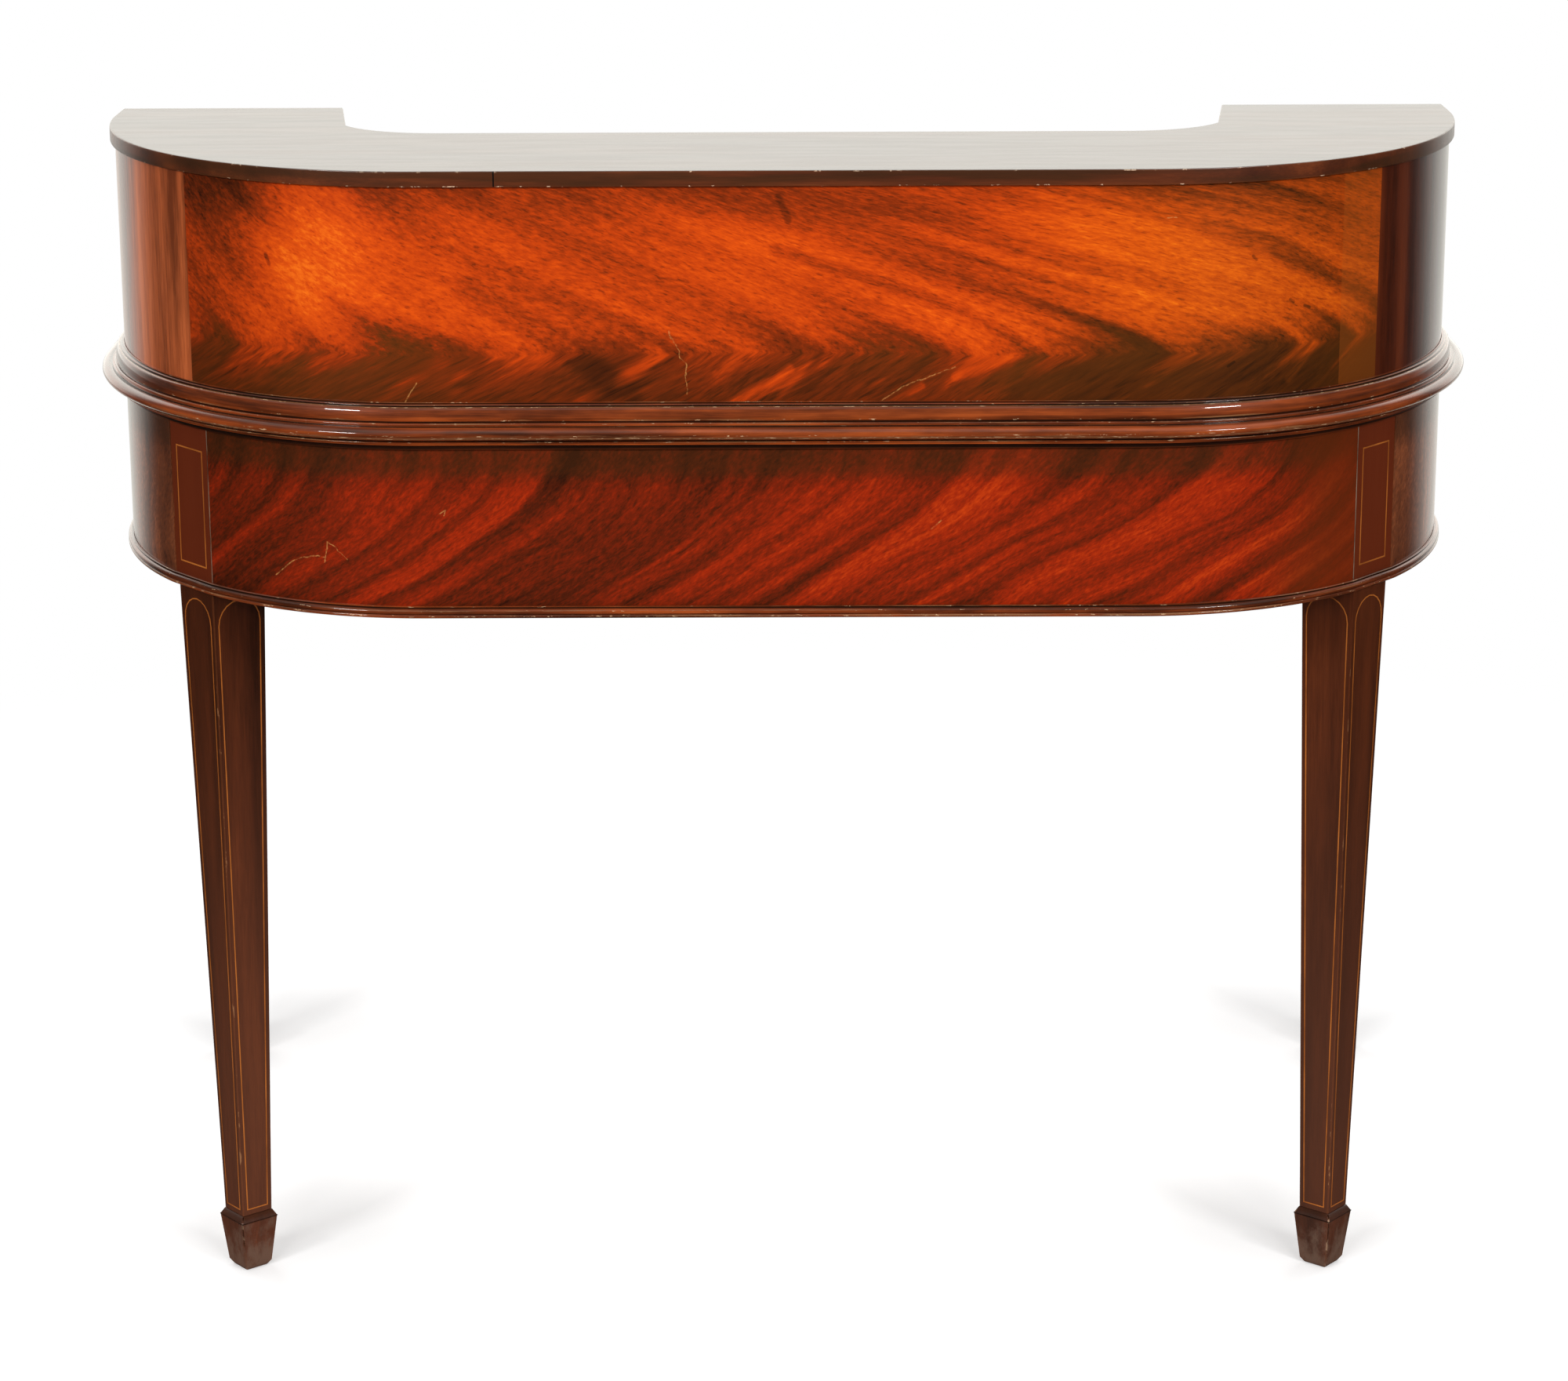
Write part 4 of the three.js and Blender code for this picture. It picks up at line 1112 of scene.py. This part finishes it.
def eased_from(node, finish, body="carcase", width=arris_width):
    """The fine piece for a CAD node: the node's own shape with its sharp edges eased."""
    bm = bench()
    bm.from_mesh(frame["nodes"][node].data)
    bmesh.ops.remove_doubles(bm, verts=bm.verts, dist=weld)
    bmesh.ops.dissolve_limit(bm, angle_limit=flat_angle, verts=bm.verts, edges=bm.edges)
    sharp = [e for e in bm.edges if e.is_manifold and e.calc_face_angle() > smooth_angle]
    ease(bm, sharp, width)
    fit(f"eased_{node}", bm, finish, body, node)


def straight_finish(name, along, stops, seed, lift=0.0, rough=0.36):
    """Straight-grained wood whose arrises are rubbed."""
    finish, tree = new_finish(name)
    colour, pores = solid_wood(tree, along, stops, seed, lift)
    colour = worn(colour, 0.62)
    polish(colour, pores, bump_depth=0.00004, roughness=rough, coat_roughness=0.10)
    return finish


def bare_finish(name, along, stops, seed):
    """Unpolished wood, with a dull sheen and open grain."""
    finish, tree = new_finish(name)
    colour, pores = solid_wood(tree, along, stops, seed)
    dirt = clouds(object_place(tree), (9, 9, 9), seed + 1.0, 4.0, 0.6)
    colour = blend_colours(between(dirt, 0.50, 0.75, 0.0, 0.45), colour, oak_dirt)
    polish(colour, pores, bump_depth=0.0001, roughness=0.62, coat_roughness=0.4, coat=0.12)
    return finish


rail_finish = straight_finish("rail_mahogany", "X", solid_stops, 21.0)
upright_finish = straight_finish("upright_mahogany", "Z", solid_stops, 22.0)
oak_along = bare_finish("oak_along", "Y", oak_stops, 23.0)
eased_from("front_rail", rail_finish)
for side in ("left", "right"):
    eased_from(f"front_divider_{side}", upright_finish)
    eased_from(f"inner_bearer_{side}", oak_along)
    eased_from(f"outer_bearer_{side}", oak_along)

# FRIEZE DRAWERS. Oak boxes lapped and dovetailed to mahogany fronts, which are faced with
# flame veneer, crossbanded, strung with boxwood and edged with a proud cock bead.
band_width = 0.0125
cock_bead = 0.0026
cock_proud = 0.0012
cock_inset = 0.0002
dovetail_lap = 0.0080
dovetails = 5
dovetail_margin = 0.008
dovetail_root = 0.27
dovetail_tip = 0.39


def inside_edges(ways):
    """How far a point lies in from the nearest edge of a panel. Each way is (coordinate, low,
    high)."""
    gaps = []
    for value, low, high in ways:
        off = distance_to(value, (low + high) / 2)
        gaps.append(scaled(off, -1.0, (high - low) / 2))
    return least(*gaps)


def panel_veneer(across, along, seed, base, lean, edge, stops):
    """Flame figure inside a crossband and a boxwood line, by how far in from the edge it is."""
    place = object_place(across.id_data)
    sway = clouds(place, (7, 7, 7), seed, 1.5)
    bent = added(across, scaled(along, lean), swing(sway, 0.03))
    streaks, grain, pores = flame(bent, along, seed, 0.50, 0.20)
    colour = ramp(added(streaks, grain, base), stops)
    banding = clouds(place, (150, 150, 150), seed + 2.0, 4.0, 0.65)
    band_colour = ramp(scaled(banding, 1.2, -0.10), solid_stops)
    in_band = under(edge, band_width)
    colour = blend_colours(in_band, colour, band_colour)
    off_line = distance_to(edge, band_width)
    on_line = under(off_line, string_width / 2)
    box = ramp(banding, [(0.30, (0.300, 0.105, 0.022)), (0.70, (0.500, 0.215, 0.055))])
    return blend_colours(on_line, colour, box), pores


def panel_finish(name, node, axes, seed, base=0.46, lean=0.7, stops=flame_stops, lined_behind=0.0):
    """The finish of a veneered panel in the plane of two axes. What lies further back than
    lined_behind from its face is bare oak."""
    finish, tree = new_finish(name)
    x, y, z = split(object_place(tree))
    value = {"X": x, "Y": y, "Z": z}
    low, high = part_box(node)
    ways = [(value[axis], low["XYZ".index(axis)], high["XYZ".index(axis)]) for axis in axes]
    edge = inside_edges(ways)
    colour, pores = panel_veneer(value[axes[0]], value[axes[-1]], seed, base, lean, edge, stops)
    if lined_behind:
        oak, _ = solid_wood(tree, "Y", oak_stops, seed + 5.0)
        colour = blend_colours(over(y, low.y + lined_behind), colour, oak)
    colour = worn(colour, 0.62)
    polish(colour, pores, roughness=0.40)
    return finish


bead_finish = straight_finish("cock_bead_mahogany", "X", dark_stops, 24.0)
for index, name in enumerate(("left", "centre", "right")):
    body = f"frieze_drawer_{name}"
    front = f"frieze_drawer_front_{name}"
    low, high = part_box(front)
    finish = panel_finish(f"{front}_veneer", front, "XZ", 31.0 + 4 * index, lean=(0.9, 0.2, -0.9)[index])
    eased_from(front, finish, body)
    eased_from(f"frieze_drawer_box_{name}", oak_along, body, width=0.0007)
    half = (high.x - low.x) / 2 - cock_inset
    outline = oblong(-half, half, low.z + cock_inset, high.z - cock_inset)
    bm = bench()
    let_in(bm, outline, before(low, high), cock_bead, cock_proud)
    fit_small(f"cock_bead_{name}", bm, bead_finish, body)
    bm = bench()
    pitch = (high.z - low.z - 2 * dovetail_margin) / dovetails
    for sign in (-1, 1):
        end = high.x if sign > 0 else -low.x
        on_end = facing(-sign * math.pi / 2, end, 0.0)
        for tail in range(dovetails):
            middle = low.z + dovetail_margin + pitch * (tail + 0.5)
            front_y = high.y - dovetail_lap
            ends = ((high.y, -dovetail_root), (high.y, dovetail_root),
                    (front_y, dovetail_tip), (front_y, -dovetail_tip))
            points = [(sign * y, middle + pitch * half) for y, half in ends]
            let_in(bm, points, on_end, width=0)
    fit_small(f"dovetails_{name}", bm, oak_along, body)

# KNOBS AND KEYHOLES. Turned brass knobs on stepped roses, and thread escutcheons of brass
# round the keyholes of the drawers and doors.
knob_shares = [
    (0.0, 0.0), (0.92, 0.0), (0.96, 0.03), (0.92, 0.08), (0.70, 0.09), (0.66, 0.14), (0.44, 0.18),
    (0.34, 0.26), (0.32, 0.38), (0.40, 0.48), (0.66, 0.56), (0.90, 0.64), (1.0, 0.74), (0.97, 0.84),
    (0.80, 0.93), (0.50, 0.985), (0.22, 1.0), (0.0, 1.0),
]
knob_steps = 40
key_radius = 0.0030
key_foot = 0.00208
key_length = 0.0095
key_below = 0.030
thread_width = 0.0008
thread_proud = 0.00035
hole_proud = 0.00010
hole_share = (0.80, 0.90)

brass, tree = new_finish("aged_brass")
patina = clouds(object_place(tree), (160, 160, 160), 3.0, 4.0, 0.6)
colour = ramp(patina, [(0.35, (0.30, 0.165, 0.045)), (0.65, (0.62, 0.40, 0.13))])
shader = wire("BsdfPrincipled", {
    "Base Color": colour, "Metallic": 1.0, "Roughness": between(patina, 0.35, 0.7, 0.42, 0.20),
})
wire("OutputMaterial", {"Surface": shader.outputs[0]})

# The keyholes are not cut: a plate painted near black is the shade inside each hole.
hole_shade_finish, tree = new_finish("keyhole_painted_shade")
shade_speckle = clouds(object_place(tree), (300, 300, 300), 1.0)
colour = ramp(shade_speckle, [(0.3, (0.004, 0.003, 0.002)), (0.7, (0.012, 0.008, 0.005))])
polish(colour, shade_speckle, roughness=0.8, coat=0.0)


def knob(node, name, body):
    """A knob turned on the axis of its CAD node, its rose on the wood behind it."""
    low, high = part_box(node)
    radius, length = (high.x - low.x) / 2, high.y - low.y
    centre = Vector(((low.x + high.x) / 2, high.y, (low.z + high.z) / 2))
    bm = bench()
    points = [bm.verts.new(centre + Vector((r * radius, -out * length, 0))) for r, out in knob_shares]
    edges = [bm.edges.new(pair) for pair in zip(points, points[1:])]
    bmesh.ops.spin(
        bm, geom=points + edges, cent=centre, axis=(0, 1, 0), angle=2 * math.pi, steps=knob_steps,
        use_merge=True,
    )
    bmesh.ops.remove_doubles(bm, verts=bm.verts, dist=0.00001)
    fit_small(name, bm, brass, body, node)


def keyhole(name, body, place):
    """A brass thread round a keyhole, inside which a plate painted near black stands for the hole's
    shade.
    """
    angles = [math.pi * i / 12 for i in range(-2, 15)]
    head = [(key_radius * math.cos(a), key_radius * math.sin(a)) for a in angles]
    foot = key_radius - key_length
    outline = head + [(-key_foot, foot), (key_foot, foot)]
    bm = bench()
    let_in(bm, outline, place, thread_width, thread_proud)
    fit_small(f"escutcheon_{name}", bm, brass, body)
    bm = bench()
    within = [(x * hole_share[0], y * hole_share[1]) for x, y in outline]
    let_in(bm, within, place, 0, hole_proud)
    fit_small(f"keyhole_{name}", bm, hole_shade_finish, body)


for where in ("left", "right", "centre_left", "centre_right"):
    drawer = where.split("_")[0]
    knob(f"frieze_knob_{where}", f"brass_knob_{where}", f"frieze_drawer_{drawer}")
for where in ("left", "centre", "right"):
    low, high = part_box(f"frieze_drawer_front_{where}")
    place = before(low, high, high.z - key_below)
    keyhole(f"frieze_{where}", f"frieze_drawer_{where}", place)

# WRITING BOARD. A mahogany board, crossbanded and strung round the bay in which the slope
# lies; the bay's bed is a thinner board let in below.
board_line_out = 0.014
bay_low, bay_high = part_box("slope_bed")
board_finish, tree = new_finish("board_mahogany")
x, y, z = split(object_place(tree))
streaks, grain, pores = flame(added(y, scaled(x, 0.22)), x, 41.0, 0.42, 0.18)
colour = ramp(added(streaks, grain, 0.30), flame_stops)
colour = worn(colour, 0.66)
polish(colour, pores, roughness=0.40, coat_roughness=0.20)
eased_from("writing_board", board_finish)
eased_from("slope_bed", rail_finish)
bm = bench()
on_board = Matrix.Translation((0, 0, board_high.z))
ring_x = bay_high.x + board_line_out
ring_low, ring_high = bay_low.y - board_line_out, bay_high.y + board_line_out
let_in(bm, oblong(-ring_x, ring_x, ring_low, ring_high), on_board)
fit_small("board_stringing", bm, boxwood)

# WRITING SLOPE. A framed flap hinged along its front edge, with a panel of green leather
# tooled in gilt, and the folding stay that props it from below.
leather_low, leather_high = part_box("slope_leather")
tooling = [(0.0105, 0.0006), (0.0160, 0.0016), (0.0215, 0.0006)]
bead_rate = 900.0
cell_rate = 900.0
grain_depth = 0.00022
gold = (0.56, 0.34, 0.085)
rubbed_hide = (0.105, 0.125, 0.060)
leather_arris = 0.0004
slope_finish = panel_finish("slope_veneer", "writing_slope", "XY", 45.0, base=0.34, lean=0.15)
eased_from("writing_slope", slope_finish, "writing_slope")
eased_from("slope_stay", rail_finish, "slope_stay")

leather, tree = new_finish("tooled_leather")
place = object_place(tree)
x, y, z = split(place)
cells = wire("TexVoronoi", {"Vector": place, "Scale": cell_rate}).outputs["Distance"]
wear = clouds(place, (7, 9, 9), 2.0, 4.0, 0.6)
hide = ramp(wear, [
    (0.28, (0.010, 0.026, 0.013)), (0.50, (0.020, 0.056, 0.026)), (0.74, (0.060, 0.115, 0.050)),
])
rubs = clouds(place, (60, 60, 60), 5.0, 5.0, 0.7)
hide = blend_colours(between(rubs, 0.60, 0.70, 0.0, 0.5), hide, rubbed_hide)
edge = inside_edges([(x, leather_low.x, leather_high.x), (y, leather_low.y, leather_high.y)])
lines = [under(distance_to(edge, out), half) for out, half in tooling]
beads = calc("SINE", scaled(added(x, y), bead_rate))
open_work = times(lines[1], over(beads, 0.1))
gilt = added(*lines, scaled(open_work, -1.0))
gilt = times(gilt, between(rubs, 0.40, 0.56, 1.0, 0.25))
colour = blend_colours(gilt, hide, gold)
grain = calc("SUBTRACT", cells, gilt)
surface({
    "Base Color": colour,
    "Metallic": scaled(gilt, 0.8),
    "Roughness": between(wear, 0.3, 0.7, 0.38, 0.56),
}, grain, grain_depth, 0.7)
eased_from("slope_leather", leather, "writing_slope", leather_arris)

# GALLERY INSIDE. A floor, two cases that close the wings, two posts, two partitions and a
# crossed divider, all of mahogany boards housed into each other.
eased_from("gallery_floor", rail_finish)
divider_finish = straight_finish("divider_mahogany", "X", solid_stops, 26.0)
eased_from("bank_divider", divider_finish)
for side in ("left", "right"):
    eased_from(f"bank_post_{side}", upright_finish)
    eased_from(f"bank_partition_{side}", upright_finish)
    eased_from(f"wing_case_{side}", upright_finish)

# BANK DRAWERS. Four small oak-lined drawers behind veneered fronts, in two rows either side
# of the divider, each with a knob.
bank_front = 0.010
for row, height in enumerate(("lower", "upper")):
    for column, side in enumerate(("left", "right")):
        name = f"bank_drawer_{height}_{side}"
        finish = panel_finish(
            f"{name}_veneer", name, "XZ", 51.0 + 3 * row + 7 * column, lean=(1.0, -1.0)[column],
            lined_behind=bank_front,
        )
        eased_from(name, finish, name)
        knob(f"bank_knob_{height}_{side}", f"brass_bank_knob_{height}_{side}", name)

# CORNER DOORS. A hollow-faced door of thin mahogany, veneered and strung, closes each rear
# corner. It hangs on two brass hinges at the bank's post.
knuckle_radius = 0.0019
knuckle_length = 0.030
door_pin = (0.285, 0.121)
hinge_inset = 0.034
key_turn = door_sweep - 0.13


def knuckle(bm, centre, axis, length=knuckle_length, radius=knuckle_radius):
    """A hinge's barrel about its pin, in three knuckles."""
    turn = Vector((0, 0, 1)).rotation_difference(axis).to_matrix().to_4x4()
    for part in (-1, 0, 1):
        barrel = bmesh.ops.create_cone(
            bm, cap_ends=True, segments=20, radius1=radius, radius2=radius, depth=length / 3 * 0.95,
        )["verts"]
        shift = Matrix.Translation(centre) @ turn @ Matrix.Translation((0, 0, part * length / 3))
        bmesh.ops.transform(bm, matrix=shift, verts=barrel)


for side, sign in sides:
    name = f"corner_door_{side}"
    low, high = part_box(name)
    finish, tree = new_finish(f"{name}_veneer")
    x, y, z = split(object_place(tree))
    off_x = scaled(x, sign, -hollow_middle.x)
    off_y = scaled(y, 1.0, -hollow_middle.y)
    round_to = scaled(calc("ARCTAN2", off_x, off_y), door_radius)
    edge = inside_edges([(round_to, 0.001, door_radius * door_sweep), (z, low.z, high.z)])
    colour, pores = panel_veneer(round_to, z, 61.0 + sign, 0.44, 0.5, edge, flame_stops)
    polish(worn(colour, 0.62), pores, roughness=0.40)
    eased_from(name, finish, name)
    bm = bench()
    for height in (low.z + hinge_inset, high.z - hinge_inset):
        knuckle(bm, Vector((sign * door_pin[0], door_pin[1], height)), Vector((0, 0, 1)))
    fit_small(f"door_hinges_{side}", bm, brass, name)
    out = Vector((sign * hollow_middle.x, hollow_middle.y, (low.z + high.z) / 2))
    place = Matrix.Translation(out) @ facing(math.pi - sign * key_turn, -door_radius, 0.0)
    keyhole(f"door_{side}", name, place)

# LETTER BOXES. A small mahogany well stands before each wing under a sloping lid, hinged at
# the back on a pair of brass butts.
lid_pin = (0.4725, -0.0425, 0.882)
lid_hinge_out = 0.055
lid_knuckle = (0.028, 0.0014)
for side, sign in sides:
    box_name, lid_name = f"letter_box_{side}", f"letter_lid_{side}"
    finish = panel_finish(f"{box_name}_veneer", box_name, "Z", 71.0 + sign, base=0.36)
    eased_from(box_name, finish)
    finish = panel_finish(f"{lid_name}_veneer", lid_name, "XY", 75.0 + sign, base=0.44, lean=0.4)
    eased_from(lid_name, finish, lid_name)
    bm = bench()
    for out in (-lid_hinge_out, lid_hinge_out):
        middle = Vector((sign * lid_pin[0] + out, lid_pin[1], lid_pin[2]))
        knuckle(bm, middle, Vector((1, 0, 0)), *lid_knuckle)
    fit_small(f"lid_hinges_{side}", bm, brass, lid_name)
